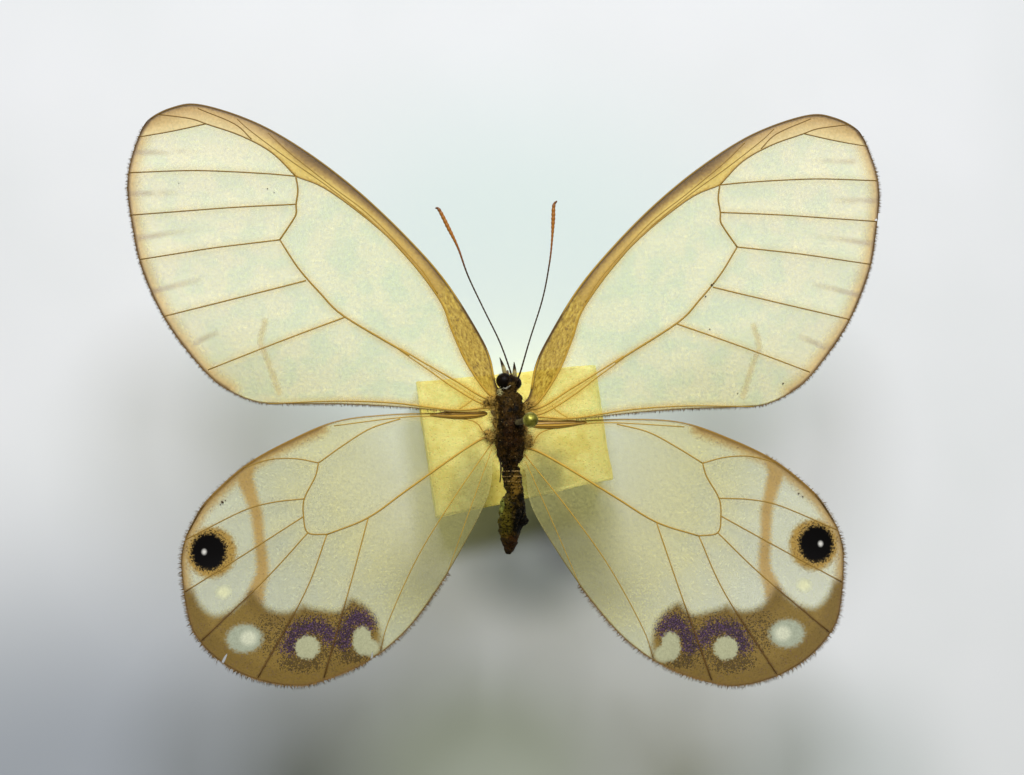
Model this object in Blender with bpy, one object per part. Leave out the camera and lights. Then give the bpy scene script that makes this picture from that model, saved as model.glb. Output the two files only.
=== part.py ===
"""A pinned clearwing butterfly, spread for a collection, on its small block of foam.

Units are metres, +Z is up. The origin is on the underside of the foam, under the pin.
+Y points to the head of the butterfly and +X to its right wings.
"""
import math

import bmesh
import bpy
from mathutils import Vector

for old in list(bpy.data.objects):
    bpy.data.objects.remove(old, do_unlink=True)

MM = 0.001

# Driving dimensions, in millimetres
FOAM_HEIGHT = 6.0
FOAM_CORNERS = [(-7.8, 4.1), (9.0, 5.7), (10.5, -5.0), (-5.9, -8.6)]
PIN_TIP_Z = 1.0
PIN_LENGTH = 38.0
PIN_RADIUS = 0.225
PIN_POINT_LENGTH = 1.2
PIN_HEAD_RADIUS = 0.54
PIN_SOCKET_DEPTH = 0.45
PIN_CLEARANCE = 0.03
WING_PLANE_Z = 25.0
HINDWING_DROP = 0.45
WING_THICKNESS = 0.12
WING_LIFT = math.radians(2.9)
VEIN_RADIUS = 0.14
SEAM = 0.05
BODY_X = -0.5
BODY_Z = 24.9

# Each pair is turned a little about the pin, and the left wing sits further forward
FORE_TURN = math.radians(0.8)
FORE_SHIFT = {"right": (-0.2, -0.4), "left": (-0.2, 0.4)}
FORE_SCALE = {"right": 1.0, "left": 1.0}
HIND_TURN = math.radians(1.8)
HIND_SHIFT = {"right": (-0.6, -0.5), "left": (-0.7, 0.5)}
HIND_SCALE = {"right": 1.015, "left": 0.985}

# Wing outlines, in millimetres out from the body and forward, from the root round the front edge
FOREWING_EDGE = [
    (0.5, 1.6), (1.3, 2.6), (1.8, 4.9), (2.8, 7.0), (5.3, 11.0), (8.4, 14.6), (11.8, 17.9),
    (15.5, 20.8), (19.6, 23.3), (24.0, 24.8), (26.3, 24.6), (28.4, 23.4), (29.4, 21.3),
    (29.9, 19.0), (29.8, 16.7), (28.9, 12.0), (27.0, 7.7), (24.2, 3.9), (22.4, 2.4),
    (20.2, 1.4), (17.9, 1.2), (13.2, 1.1), (8.5, 0.8), (4.5, 0.4), (2.4, 0.4), (0.5, 0.7),
]
HINDWING_EDGE = [
    (0.5, 0.1), (2.5, 0.4), (5.6, 0.5), (9.7, 0.5), (13.7, 0.1), (17.4, -1.3), (21.0, -3.2),
    (24.0, -5.8), (25.2, -7.5), (26.0, -9.3), (26.2, -11.3), (25.7, -15.3), (24.8, -17.1),
    (23.4, -18.6), (21.7, -19.7), (19.9, -20.4), (17.9, -20.8), (15.9, -20.7), (12.1, -19.4),
    (8.8, -17.1), (6.2, -14.1), (4.0, -10.8), (2.0, -7.3), (1.3, -5.4), (1.1, -3.4),
    (0.5, -2.4),
]

# Veins as (points, thickness at the start, thickness at the end), thickness as a share of VEIN_RADIUS
FOREWING_VEINS = {
    "costa": ([(1.5, 2.8), (2.0, 4.9), (3.0, 6.9), (5.5, 10.8), (8.6, 14.4), (12.0, 17.6),
               (15.7, 20.5), (19.7, 22.9), (23.4, 24.3)], 1.2, 0.7),
    "radius": ([(0.8, 1.8), (1.9, 1.9), (3.6, 4.3), (4.8, 7.0), (5.9, 9.7), (9.6, 14.3),
                (14.2, 18.0), (16.9, 19.2)], 1.3, 0.8),
    "radial_stem": ([(16.9, 19.2), (18.8, 21.1), (21.2, 22.4), (23.8, 23.3)], 0.8, 0.7),
    "radial_front": ([(20.3, 22.1), (21.6, 23.3), (24.4, 24.5)], 0.7, 0.6),
    "radial_middle": ([(23.8, 23.3), (25.0, 23.7), (27.2, 23.9)], 0.7, 0.6),
    "radial_rear": ([(23.8, 23.3), (26.4, 22.7), (28.8, 22.2)], 0.7, 0.6),
    "cell_end": ([(16.9, 19.2), (16.9, 17.0), (17.2, 15.7), (18.2, 14.2)], 0.8, 0.8),
    "median_1": ([(16.9, 19.2), (19.4, 19.4), (24.6, 19.6), (29.6, 19.4)], 0.8, 0.6),
    "median_2": ([(16.9, 17.0), (22.0, 16.7), (29.5, 16.1)], 0.8, 0.6),
    "median_3": ([(18.2, 14.2), (23.6, 13.5), (28.9, 12.6)], 0.8, 0.6),
    "cubital": ([(0.8, 1.1), (2.4, 1.3), (4.6, 2.6), (8.9, 5.5), (13.3, 8.2), (15.1, 10.0),
                 (16.8, 12.0), (18.2, 14.2)], 1.3, 0.9),
    "cubital_1": ([(16.2, 11.0), (18.9, 10.3), (24.4, 8.9), (27.0, 8.2)], 0.8, 0.6),
    "cubital_2": ([(13.2, 8.1), (17.5, 6.5), (23.8, 4.0)], 0.8, 0.6),
    "anal": ([(18.8, 1.4), (14.1, 1.5), (9.5, 1.3), (4.9, 0.7), (2.4, 0.8), (0.8, 1.0)], 0.6, 1.0),
}
HINDWING_VEINS = {
    "subcosta": ([(0.8, -1.4), (1.8, -1.3), (2.4, -0.5), (3.4, -0.1), (5.9, 0.2), (8.6, 0.2),
                  (13.9, -0.3)], 1.1, 0.6),
    "radial_sector": ([(8.6, 0.1), (11.0, -0.6), (13.1, -1.8), (15.2, -3.2)], 0.8, 0.8),
    "median_1": ([(15.2, -3.2), (17.0, -2.8), (19.0, -2.8), (20.7, -3.3)], 0.8, 0.6),
    "cell_end": ([(15.2, -3.2), (16.4, -6.0), (16.5, -7.4), (16.2, -8.7), (14.7, -8.9)], 0.8, 0.8),
    "median_2": ([(16.4, -6.0), (18.9, -6.2), (21.3, -6.8), (25.6, -8.8)], 0.8, 0.6),
    "median_3": ([(16.5, -7.4), (21.2, -10.2), (25.8, -12.9)], 0.8, 0.6),
    "cubital": ([(0.8, -1.5), (2.0, -1.7), (4.1, -2.9), (8.2, -5.6), (11.4, -7.7),
                 (14.7, -8.9)], 1.2, 0.8),
    "cubital_1": ([(16.2, -8.7), (19.5, -12.1), (24.5, -16.7)], 0.8, 0.6),
    "cubital_2": ([(14.7, -8.9), (16.6, -13.5), (20.3, -19.8)], 0.8, 0.6),
    "cubital_3": ([(11.4, -7.7), (12.9, -12.7), (15.2, -19.9)], 0.8, 0.6),
    "anal_1": ([(1.2, -2.0), (4.7, -6.7), (7.6, -11.1), (10.0, -15.9), (10.7, -18.1)], 0.8, 0.6),
    "anal_3": ([(1.3, -2.6), (3.4, -7.8), (5.2, -12.4)], 0.7, 0.5),
}

# Body, as (x, y, z, radius) stations in millimetres; the thorax is squeezed sideways a little
THORAX_STATIONS = [
    (-0.6, 2.5, 25.0, 0.50), (-0.6, 2.2, 25.0, 0.85), (-0.55, 1.5, 24.95, 1.12),
    (-0.5, 0.5, 24.9, 1.25), (-0.45, -0.9, 24.9, 1.27), (-0.45, -2.1, 24.85, 1.12),
    (-0.5, -2.9, 24.8, 0.88), (-0.55, -3.3, 24.75, 0.55),
]
THORAX_HEIGHT_RATIO = 1.18
ABDOMEN_STATIONS = [
    (-0.5, -3.42, 24.7, 0.55), (-0.42, -3.85, 24.7, 0.76), (-0.22, -4.8, 24.6, 0.74),
    (-0.02, -5.5, 24.4, 0.74), (-0.15, -6.3, 24.1, 0.98), (-0.22, -7.2, 23.75, 1.13),
    (-0.36, -8.4, 23.25, 1.00), (-0.38, -9.2, 22.85, 0.80), (-0.36, -9.95, 22.45, 0.56),
    (-0.40, -10.6, 22.1, 0.20),
]
ABDOMEN_SEGMENT_LENGTH = 0.85
ABDOMEN_GROOVE = 0.07
HEAD_CENTRE = (-0.62, 3.22, 25.2)
HEAD_SIZE = (0.78, 0.62, 0.76)
# The head has rolled over to its right, so the left eye sits higher
EYES = {"left": ((-0.96, 3.32, 25.4), 0.62), "right": ((-0.12, 3.14, 25.0), 0.56)}

LEFT_ANTENNA = [(-0.3, 3.4), (-0.55, 4.3), (-1.35, 6.45), (-2.7, 9.2), (-3.85, 11.65),
                (-4.6, 13.75), (-5.4, 15.4), (-6.1, 16.75), (-6.4, 16.9)]
RIGHT_ANTENNA = [(0.05, 3.3), (0.35, 4.1), (1.05, 6.5), (2.1, 9.85), (2.65, 12.7),
                 (2.85, 14.6), (2.93, 16.1), (2.98, 17.2), (3.22, 17.55)]
ANTENNA_Z = 25.5
ANTENNA_RISE = 0.8
ANTENNA_RADII = [0.085, 0.07, 0.06, 0.06, 0.065, 0.09, 0.155, 0.13, 0.06]

LEFT_PALP = [(-0.8, 3.6, 25.1), (-1.0, 4.35, 25.35), (-1.32, 5.15, 25.7)]
RIGHT_PALP = [(-0.1, 3.4, 25.0), (-0.12, 4.1, 25.3), (-0.18, 4.8, 25.65)]
PALP_RADII = [0.15, 0.13, 0.05]

TONGUE_CENTRE = (-0.6, 3.72, 24.25)
TONGUE_OUTER = 0.50
TONGUE_INNER = 0.16
TONGUE_TURNS = 1.75
TONGUE_RADIUS = 0.07

# Legs as the right one's points out from the body, along it, and up
LEGS = {
    "foreleg": ([(0.45, 1.55, 23.7), (0.75, 1.9, 22.95), (0.5, 2.35, 22.3), (0.3, 1.7, 21.7)], 0.11),
    "midleg": ([(0.55, 0.3, 23.6), (1.15, 0.75, 22.5), (1.25, 1.35, 21.3), (0.8, 0.5, 20.0),
                (0.5, -0.5, 19.1), (0.6, -1.3, 18.6)], 0.13),
    "hindleg": ([(0.5, -1.3, 23.55), (0.75, -1.9, 22.4), (0.7, -2.5, 21.2), (0.4, -3.2, 19.8),
                 (0.3, -4.1, 18.7), (0.35, -4.9, 18.3)], 0.13),
}
LEG_TAPER = 0.4

parts = bpy.data.collections.new("pinned_butterfly")
cutters = bpy.data.collections.new("cutters")
bpy.context.scene.collection.children.link(parts)
bpy.context.scene.collection.children.link(cutters)


def make_material(name, colour, roughness, metallic=0.0):
    """A plain surface with the piece's colour, roughness and metallic value."""
    material = bpy.data.materials.new(name)
    material.use_nodes = True
    shader = material.node_tree.nodes["Principled BSDF"]
    shader.inputs["Base Color"].default_value = (*colour, 1.0)
    shader.inputs["Roughness"].default_value = roughness
    shader.inputs["Metallic"].default_value = metallic
    return material


def add_object(name, mesh, material=None):
    """Puts a mesh in the scene as a part, or as a hidden cutter when it has no material."""
    piece = bpy.data.objects.new(name, mesh)
    if material:
        mesh.materials.clear()
        mesh.materials.append(material)
        parts.objects.link(piece)
    else:
        cutters.objects.link(piece)
        piece.hide_render = True
        piece.display_type = "WIRE"
    return piece


def smooth_path(points, steps):
    """Points on the smooth curve that passes through all the given ones."""
    vectors = [Vector(point) for point in points]
    before = [vectors[0] * 2 - vectors[1]] + vectors
    padded = before + [vectors[-1] * 2 - vectors[-2]]
    path = []
    for first, start, end, last in zip(padded, padded[1:], padded[2:], padded[3:]):
        for step in range(steps):
            t = step / steps
            bend = (first * 2 - start * 5 + end * 4 - last) * t * t
            twist = (start * 3 - first - end * 3 + last) * t ** 3
            path.append((start * 2 + (end - first) * t + bend + twist) / 2)
    return path + [vectors[-1]]


def curve_to_mesh(curve, name):
    """Turns a curve into one closed mesh, its caps welded to its wall and its faces outward."""
    holder = bpy.data.objects.new(name, curve)
    bpy.context.scene.collection.objects.link(holder)
    evaluated = holder.evaluated_get(bpy.context.evaluated_depsgraph_get())
    mesh = bpy.data.meshes.new_from_object(evaluated)
    bpy.data.objects.remove(holder, do_unlink=True)
    shape = bmesh.new()
    shape.from_mesh(mesh)
    bmesh.ops.remove_doubles(shape, verts=shape.verts, dist=0.002 * MM)
    bmesh.ops.recalc_face_normals(shape, faces=shape.faces)
    shape.to_mesh(mesh)
    shape.free()
    return mesh


def tube_mesh(name, runs, bevel_resolution=2):
    """One mesh of tapered tubes; a run is a list of (x, y, z, radius) stations in millimetres."""
    curve = bpy.data.curves.new(name, "CURVE")
    curve.dimensions = "3D"
    curve.bevel_depth = MM
    curve.bevel_resolution = bevel_resolution
    curve.use_fill_caps = True
    for stations in runs:
        spline = curve.splines.new("POLY")
        spline.points.add(len(stations) - 1)
        for point, (x, y, z, radius) in zip(spline.points, stations):
            point.co = (x * MM, y * MM, z * MM, 1.0)
            point.radius = radius
    return curve_to_mesh(curve, name)


def cut_with(piece, cutter, operation="DIFFERENCE", overlapping=False):
    """Adds a Boolean to a piece; overlapping says that the cutter crosses itself."""
    modifier = piece.modifiers.new(cutter.name, "BOOLEAN")
    modifier.operation = operation
    modifier.solver = "EXACT"
    modifier.use_self = overlapping
    modifier.object = cutter


def cylinder_mesh(name, radius, low, high, segments=16, tip_length=0.0):
    """An upright rod on the pin's axis, with a cone below it where tip_length is given."""
    shape = bmesh.new()
    bmesh.ops.create_cone(shape, cap_ends=True, segments=segments, radius1=radius * MM,
                          radius2=radius * MM, depth=(high - low) * MM)
    bmesh.ops.translate(shape, verts=shape.verts, vec=(0, 0, (low + high) / 2 * MM))
    if tip_length:
        bottom = [face for face in shape.faces if face.normal.z < -0.9]
        tip = bmesh.ops.extrude_face_region(shape, geom=bottom)["geom"]
        tip_vertices = [item for item in tip if isinstance(item, bmesh.types.BMVert)]
        bmesh.ops.delete(shape, geom=bottom, context="FACES")
        bmesh.ops.translate(shape, verts=tip_vertices, vec=(0, 0, -tip_length * MM))
        bmesh.ops.pointmerge(shape, verts=tip_vertices, merge_co=(0, 0, (low - tip_length) * MM))
    mesh = bpy.data.meshes.new(name)
    shape.to_mesh(mesh)
    shape.free()
    return mesh


def ball_mesh(name, balls, segments=16, rings=10):
    """One mesh of balls, each given as (centre, half sizes) in millimetres."""
    shape = bmesh.new()
    for centre, half_sizes in balls:
        ball = bmesh.ops.create_uvsphere(shape, u_segments=segments, v_segments=rings, radius=MM)
        bmesh.ops.scale(shape, verts=ball["verts"], vec=half_sizes)
        bmesh.ops.translate(shape, verts=ball["verts"], vec=Vector(centre) * MM)
    mesh = bpy.data.meshes.new(name)
    shape.to_mesh(mesh)
    shape.free()
    return mesh


foam_yellow = make_material("foam_yellow", (0.83, 0.76, 0.42), 0.9)
pin_steel = make_material("pin_steel", (0.35, 0.34, 0.32), 0.35, 1.0)
pin_brass = make_material("pin_brass", (0.42, 0.36, 0.16), 0.3, 1.0)
body_brown = make_material("body_brown", (0.10, 0.06, 0.03), 0.6)
head_black = make_material("head_black", (0.02, 0.017, 0.015), 0.25)
antenna_brown = make_material("antenna_brown", (0.24, 0.11, 0.03), 0.5)
wing_clear = make_material("wing_clear", (0.76, 0.73, 0.60), 0.4)


# Foam block and the pin that stands in it
foam_curve = bpy.data.curves.new("foam_outline", "CURVE")
foam_curve.dimensions = "2D"
foam_curve.fill_mode = "BOTH"
foam_curve.extrude = FOAM_HEIGHT / 2 * MM
foam_spline = foam_curve.splines.new("POLY")
foam_spline.points.add(len(FOAM_CORNERS) - 1)
foam_spline.use_cyclic_u = True
for point, (x, y) in zip(foam_spline.points, FOAM_CORNERS):
    point.co = (x * MM, y * MM, 0.0, 1.0)
foam = add_object("foam_block", curve_to_mesh(foam_curve, "foam_block"), foam_yellow)
foam.location.z = FOAM_HEIGHT / 2 * MM

pin_top = PIN_TIP_Z + PIN_LENGTH
head_z = pin_top - PIN_HEAD_RADIUS
shaft_top = head_z - PIN_HEAD_RADIUS + PIN_SOCKET_DEPTH
hole_radius = PIN_RADIUS + PIN_CLEARANCE

pin_mesh = cylinder_mesh("insect_pin", PIN_RADIUS, PIN_TIP_Z + PIN_POINT_LENGTH, shaft_top,
                         tip_length=PIN_POINT_LENGTH)
pin = add_object("insect_pin", pin_mesh, pin_steel)
pin_mesh.shade_smooth()

pin_head = add_object("pin_head", ball_mesh("pin_head", [((0, 0, head_z), (PIN_HEAD_RADIUS,) * 3)]),
                      pin_brass)
pin_head.data.shade_smooth()

pin_hole = add_object("pin_hole", cylinder_mesh("pin_hole", hole_radius, PIN_TIP_Z - PIN_CLEARANCE,
                                                shaft_top + PIN_CLEARANCE))
cut_with(foam, pin_hole)
cut_with(pin_head, pin_hole)


# Thorax, with the pin's hole through it, and the slightly larger shape that trims what grows from it
def squeezed(stations, extra=0.0):
    """Stations as they are before the height is stretched about the body's middle."""
    return [(x, y, BODY_Z + (z - BODY_Z) / THORAX_HEIGHT_RATIO, radius + extra)
            for x, y, z, radius in smooth_path(stations, 2)]


def stretch_height(mesh, ratio):
    """Stretches a body mesh in height about the body's middle."""
    for vertex in mesh.vertices:
        vertex.co.z = BODY_Z * MM + (vertex.co.z - BODY_Z * MM) * ratio


thorax_mesh = tube_mesh("thorax", [squeezed(THORAX_STATIONS)], bevel_resolution=4)
stretch_height(thorax_mesh, THORAX_HEIGHT_RATIO)
thorax = add_object("thorax", thorax_mesh, body_brown)
thorax_mesh.shade_smooth()
cut_with(thorax, pin_hole)

room_mesh = tube_mesh("thorax_room", [squeezed(THORAX_STATIONS, SEAM)], bevel_resolution=4)
stretch_height(room_mesh, THORAX_HEIGHT_RATIO)
thorax_room = add_object("thorax_room", room_mesh)


# Abdomen, drooping behind the thorax, with a shallow groove between its rings
def grooved(stations):
    """The smooth abdomen with its radius drawn in once each segment length."""
    path = smooth_path(stations, 3)
    start = path[0]
    rings = []
    for station in path:
        along = start.y - station.y
        groove = 0.5 + 0.5 * math.cos(2 * math.pi * along / ABDOMEN_SEGMENT_LENGTH)
        rings.append((station.x, station.y, station.z, station.w * (1 - ABDOMEN_GROOVE * groove)))
    return rings


abdomen = add_object("abdomen", tube_mesh("abdomen", [grooved(ABDOMEN_STATIONS)], 3), body_brown)
abdomen.data.shade_smooth()


# Head with its two bulging eyes, in one solid
head = add_object("head", ball_mesh("head", [(HEAD_CENTRE, HEAD_SIZE)]), head_black)
head.data.shade_smooth()
head_room = add_object("head_room", ball_mesh("head_room", [
    (HEAD_CENTRE, [half_size + SEAM for half_size in HEAD_SIZE])]))
for side, (eye_centre, radius) in EYES.items():
    eye = add_object(side + "_eye", ball_mesh(side + "_eye", [(eye_centre, (radius,) * 3)]))
    cut_with(head, eye, "UNION")
    eye_room = add_object(side + "_eye_room", ball_mesh(side + "_eye_room", [
        (eye_centre, (radius + SEAM,) * 3)]))
    cut_with(head_room, eye_room, "UNION")
cut_with(head, thorax_room)


# Antennae, palps and the coiled tongue, which grow from the head
def antenna_stations(points):
    """Adds the height and the thickness, slim in the shaft and swollen in the club."""
    last = len(points) - 1
    stations = [(x, y, ANTENNA_Z + ANTENNA_RISE * index / last, radius)
                for index, ((x, y), radius) in enumerate(zip(points, ANTENNA_RADII))]
    return [tuple(station) for station in smooth_path(stations, 2)]


def palp_stations(points):
    """Adds the thickness to a palp's points."""
    stations = [(*point, radius) for point, radius in zip(points, PALP_RADII)]
    return [tuple(station) for station in smooth_path(stations, 2)]


def tongue_stations():
    """A flat spiral that hangs under the face, from its outer end to its middle."""
    centre_x, centre_y, centre_z = TONGUE_CENTRE
    steps = int(TONGUE_TURNS * 12)
    stations = []
    for step in range(steps + 1):
        share = step / steps
        angle = math.radians(90) - share * TONGUE_TURNS * 2 * math.pi
        reach = TONGUE_OUTER + (TONGUE_INNER - TONGUE_OUTER) * share
        stations.append((centre_x, centre_y + reach * math.cos(angle),
                         centre_z + reach * math.sin(angle), TONGUE_RADIUS * (1.1 - 0.5 * share)))
    return stations


slender_runs = {
    "left_antenna": (antenna_stations(LEFT_ANTENNA), antenna_brown, 1),
    "right_antenna": (antenna_stations(RIGHT_ANTENNA), antenna_brown, 1),
    "left_palp": (palp_stations(LEFT_PALP), body_brown, 1),
    "right_palp": (palp_stations(RIGHT_PALP), body_brown, 1),
    "proboscis": (tongue_stations(), antenna_brown, 0),
}
for name, (stations, material, resolution) in slender_runs.items():
    piece = add_object(name, tube_mesh(name, [stations], resolution), material)
    piece.data.shade_smooth()
    cut_with(piece, head_room)


# Six legs, folded under the thorax as they dry
def leg_stations(points, radius, sign):
    """A leg's stations on one side, thinner towards the foot."""
    last = len(points) - 1
    stations = [(BODY_X + sign * out, along, up, radius * (1 - (1 - LEG_TAPER) * index / last))
                for index, (out, along, up) in enumerate(points)]
    return [tuple(station) for station in smooth_path(stations, 2)]


for side, sign in (("left", -1), ("right", 1)):
    for leg, (points, radius) in LEGS.items():
        name = side + "_" + leg
        piece = add_object(name, tube_mesh(name, [leg_stations(points, radius, sign)], 1), body_brown)
        piece.data.shade_smooth()
        cut_with(piece, thorax_room)


# Wings: a thin plate with its veins standing a little proud of both faces
def wing_plate(name, edge, sign, scale):
    """The flat plate of a wing inside its outline."""
    curve = bpy.data.curves.new(name, "CURVE")
    curve.dimensions = "2D"
    curve.fill_mode = "BOTH"
    curve.extrude = WING_THICKNESS / 2 * MM
    curve.resolution_u = 3
    spline = curve.splines.new("BEZIER")
    spline.bezier_points.add(len(edge) - 1)
    spline.use_cyclic_u = True
    for point, (x, y) in zip(spline.bezier_points, edge):
        point.co = (sign * scale * x * MM, scale * y * MM, 0.0)
        point.handle_left_type = "AUTO"
        point.handle_right_type = "AUTO"
    return curve_to_mesh(curve, name)


def vein_runs(veins, sign, scale):
    """The veins' stations in the wing's plane."""
    runs = []
    for points, thick_start, thick_end in veins.values():
        path = smooth_path(points, 2)
        last = len(path) - 1
        runs.append([(sign * scale * point.x, scale * point.y, 0.0,
                      VEIN_RADIUS * (thick_start + (thick_end - thick_start) * index / last))
                     for index, point in enumerate(path)])
    return runs


def make_wing(name, edge, veins, side, scale, shift, turn, height):
    """Places one wing: mirrored for the left side, lifted outward, turned and shifted."""
    sign = 1 if side == "right" else -1
    wing = add_object(name, wing_plate(name, edge, sign, scale), wing_clear)
    ribs = add_object(name + "_veins", tube_mesh(name + "_veins", vein_runs(veins, sign, scale), 0))
    for item in (wing, ribs):
        item.rotation_euler = (0.0, -sign * WING_LIFT, turn)
        item.location = (shift[0] * MM, shift[1] * MM, height * MM)
    cut_with(wing, ribs, "UNION", overlapping=True)
    cut_with(wing, thorax_room)
    return wing


for side in ("left", "right"):
    make_wing(side + "_forewing", FOREWING_EDGE, FOREWING_VEINS, side, FORE_SCALE[side],
              FORE_SHIFT[side], FORE_TURN, WING_PLANE_Z)
    make_wing(side + "_hindwing", HINDWING_EDGE, HINDWING_VEINS, side, HIND_SCALE[side],
              HIND_SHIFT[side], HIND_TURN, WING_PLANE_Z - HINDWING_DROP)

bpy.context.view_layer.update()
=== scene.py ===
# %% [markdown]
# # A pinned clearwing butterfly
# This lesson dresses a plain model of a spread butterfly on its insect pin. The plain model is the
# frame: it is loaded first and never changed, so every size and place below is measured from it.
# One unit of the frame is a metre, and the butterfly is only 60 mm wide. Its details are easier to
# think about in millimetres, so MM turns millimetres into metres wherever a mesh is placed.

# %% Load the frame
import math
import random

import bmesh
import bpy
import numpy as np
from mathutils import Matrix, Vector, noise


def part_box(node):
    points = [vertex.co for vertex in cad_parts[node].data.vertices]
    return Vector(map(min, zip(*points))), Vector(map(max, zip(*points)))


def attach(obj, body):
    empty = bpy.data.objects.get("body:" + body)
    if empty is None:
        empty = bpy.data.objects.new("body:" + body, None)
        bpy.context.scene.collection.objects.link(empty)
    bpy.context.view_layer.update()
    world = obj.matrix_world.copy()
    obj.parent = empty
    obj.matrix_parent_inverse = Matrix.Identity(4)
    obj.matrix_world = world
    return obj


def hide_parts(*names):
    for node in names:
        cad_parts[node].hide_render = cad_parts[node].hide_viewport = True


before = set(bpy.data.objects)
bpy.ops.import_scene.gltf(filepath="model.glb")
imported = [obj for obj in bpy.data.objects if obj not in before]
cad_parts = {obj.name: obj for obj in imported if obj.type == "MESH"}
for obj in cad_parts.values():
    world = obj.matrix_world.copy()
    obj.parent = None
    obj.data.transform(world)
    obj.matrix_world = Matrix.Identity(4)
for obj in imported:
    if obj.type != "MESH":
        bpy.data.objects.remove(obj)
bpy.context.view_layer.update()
MM = 0.001
random.seed(11)

# %% [markdown]
# ## The camera
# The photograph looks down on the wings from about 110 mm. The bead of the pin shows beside the
# place where the pin enters the body, and the left wings look a little larger than the right ones.
# Both come from a camera that stands left of the pin and leans slightly to the right. The foot of
# the camera, the point straight under it, is therefore left of and below the picture's centre.

# %% Place the camera
PICTURE_WIDTH = 1024
PICTURE_HEIGHT = 775
SENSOR_MM = 36.0
FOCAL_PIXELS = 1387.0
FOOT_PIXEL = (410.0, 443.0)
CAMERA_SPOT_MM = (-8.4, -1.6, 135.0)

lean_right = math.atan((PICTURE_WIDTH / 2 - FOOT_PIXEL[0]) / FOCAL_PIXELS)
lean_forward = math.atan((FOOT_PIXEL[1] - PICTURE_HEIGHT / 2) / FOCAL_PIXELS)
camera_data = bpy.data.cameras.new("camera")
camera_data.sensor_fit = "HORIZONTAL"
camera_data.sensor_width = SENSOR_MM
camera_data.lens = FOCAL_PIXELS / PICTURE_WIDTH * SENSOR_MM
camera_data.clip_start = MM
camera = bpy.data.objects.new("camera", camera_data)
camera.matrix_world = (Matrix.Translation(Vector(CAMERA_SPOT_MM) * MM)
                       @ Matrix.Rotation(lean_forward, 4, "X") @ Matrix.Rotation(-lean_right, 4, "Y"))
bpy.context.scene.collection.objects.link(camera)
bpy.context.scene.camera = camera
print("camera leans", round(math.degrees(lean_right), 1), "degrees right and",
      round(math.degrees(lean_forward), 1), "forward, lens", round(camera_data.lens, 1), "mm")

# %% [markdown]
# ## Small helpers for meshes
# Pieces are kept as objects at the origin, with their place in their mesh. Most of the butterfly
# is slender, so one helper turns a list of stations into a tapered tube: a curve does that well,
# because each of its points can have a thickness of its own. A shape is worked on as a bmesh, which
# is opened from a mesh and written back to one.

# %% Mesh helpers
WELD_MM = 0.001


def finish_piece(name, mesh, material, replaces=()):
    """Adds a mesh as a finished piece that rides on the frame."""
    mesh.materials.clear()
    mesh.materials.append(material)
    mesh.shade_smooth()
    piece = bpy.data.objects.new(name, mesh)
    bpy.context.scene.collection.objects.link(piece)
    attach(piece, "root")
    if replaces:
        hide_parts(*replaces)
    return piece


def evaluated_mesh(name, data, modifiers=()):
    """The mesh of a curve or mesh after its modifiers, given as (kind, settings)."""
    holder = bpy.data.objects.new(name, data)
    bpy.context.scene.collection.objects.link(holder)
    for kind, settings in modifiers:
        modifier = holder.modifiers.new(kind, kind)
        for setting, value in settings.items():
            setattr(modifier, setting, value)
    graph = bpy.context.evaluated_depsgraph_get()
    mesh = bpy.data.meshes.new_from_object(holder.evaluated_get(graph))
    bpy.data.objects.remove(holder, do_unlink=True)
    return mesh


def opened(mesh):
    """A bmesh of a mesh, to work on."""
    shape = bmesh.new()
    shape.from_mesh(mesh)
    return shape


def written(shape, mesh):
    """Writes a bmesh to a mesh, or to a new one of the given name, and frees it."""
    if isinstance(mesh, str):
        mesh = bpy.data.meshes.new(mesh)
    shape.to_mesh(mesh)
    shape.free()
    return mesh


def smooth_path(points, steps):
    """Points on the smooth curve that passes through all the given ones."""
    vectors = [Vector(point) for point in points]
    padded = [vectors[0] * 2 - vectors[1], *vectors, vectors[-1] * 2 - vectors[-2]]
    path = []
    for first, start, end, last in zip(padded, padded[1:], padded[2:], padded[3:]):
        for step in range(steps):
            t = step / steps
            bend = (first * 2 - start * 5 + end * 4 - last) * t * t
            twist = (start * 3 - first - end * 3 + last) * t ** 3
            path.append((start * 2 + (end - first) * t + bend + twist) / 2)
    return path + [vectors[-1]]


def tube_mesh(name, runs, bevel_resolution):
    """Tapered tubes in millimetres, one for each run of (x, y, z, radius) stations."""
    curve = bpy.data.curves.new(name, "CURVE")
    curve.dimensions = "3D"
    curve.bevel_depth = 1.0
    curve.bevel_resolution = bevel_resolution
    curve.use_fill_caps = True
    for stations in runs:
        spline = curve.splines.new("POLY")
        spline.points.add(len(stations) - 1)
        for point, (x, y, z, radius) in zip(spline.points, stations):
            point.co = (x, y, z, 1.0)
            point.radius = radius
    mesh = evaluated_mesh(name, curve)
    shape = opened(mesh)
    bmesh.ops.remove_doubles(shape, verts=shape.verts, dist=WELD_MM)
    bmesh.ops.recalc_face_normals(shape, faces=shape.faces)
    return written(shape, mesh)


def lengths(rows):
    """How long each row of numbers is, as a vector."""
    return np.linalg.norm(rows, axis=1)


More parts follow.
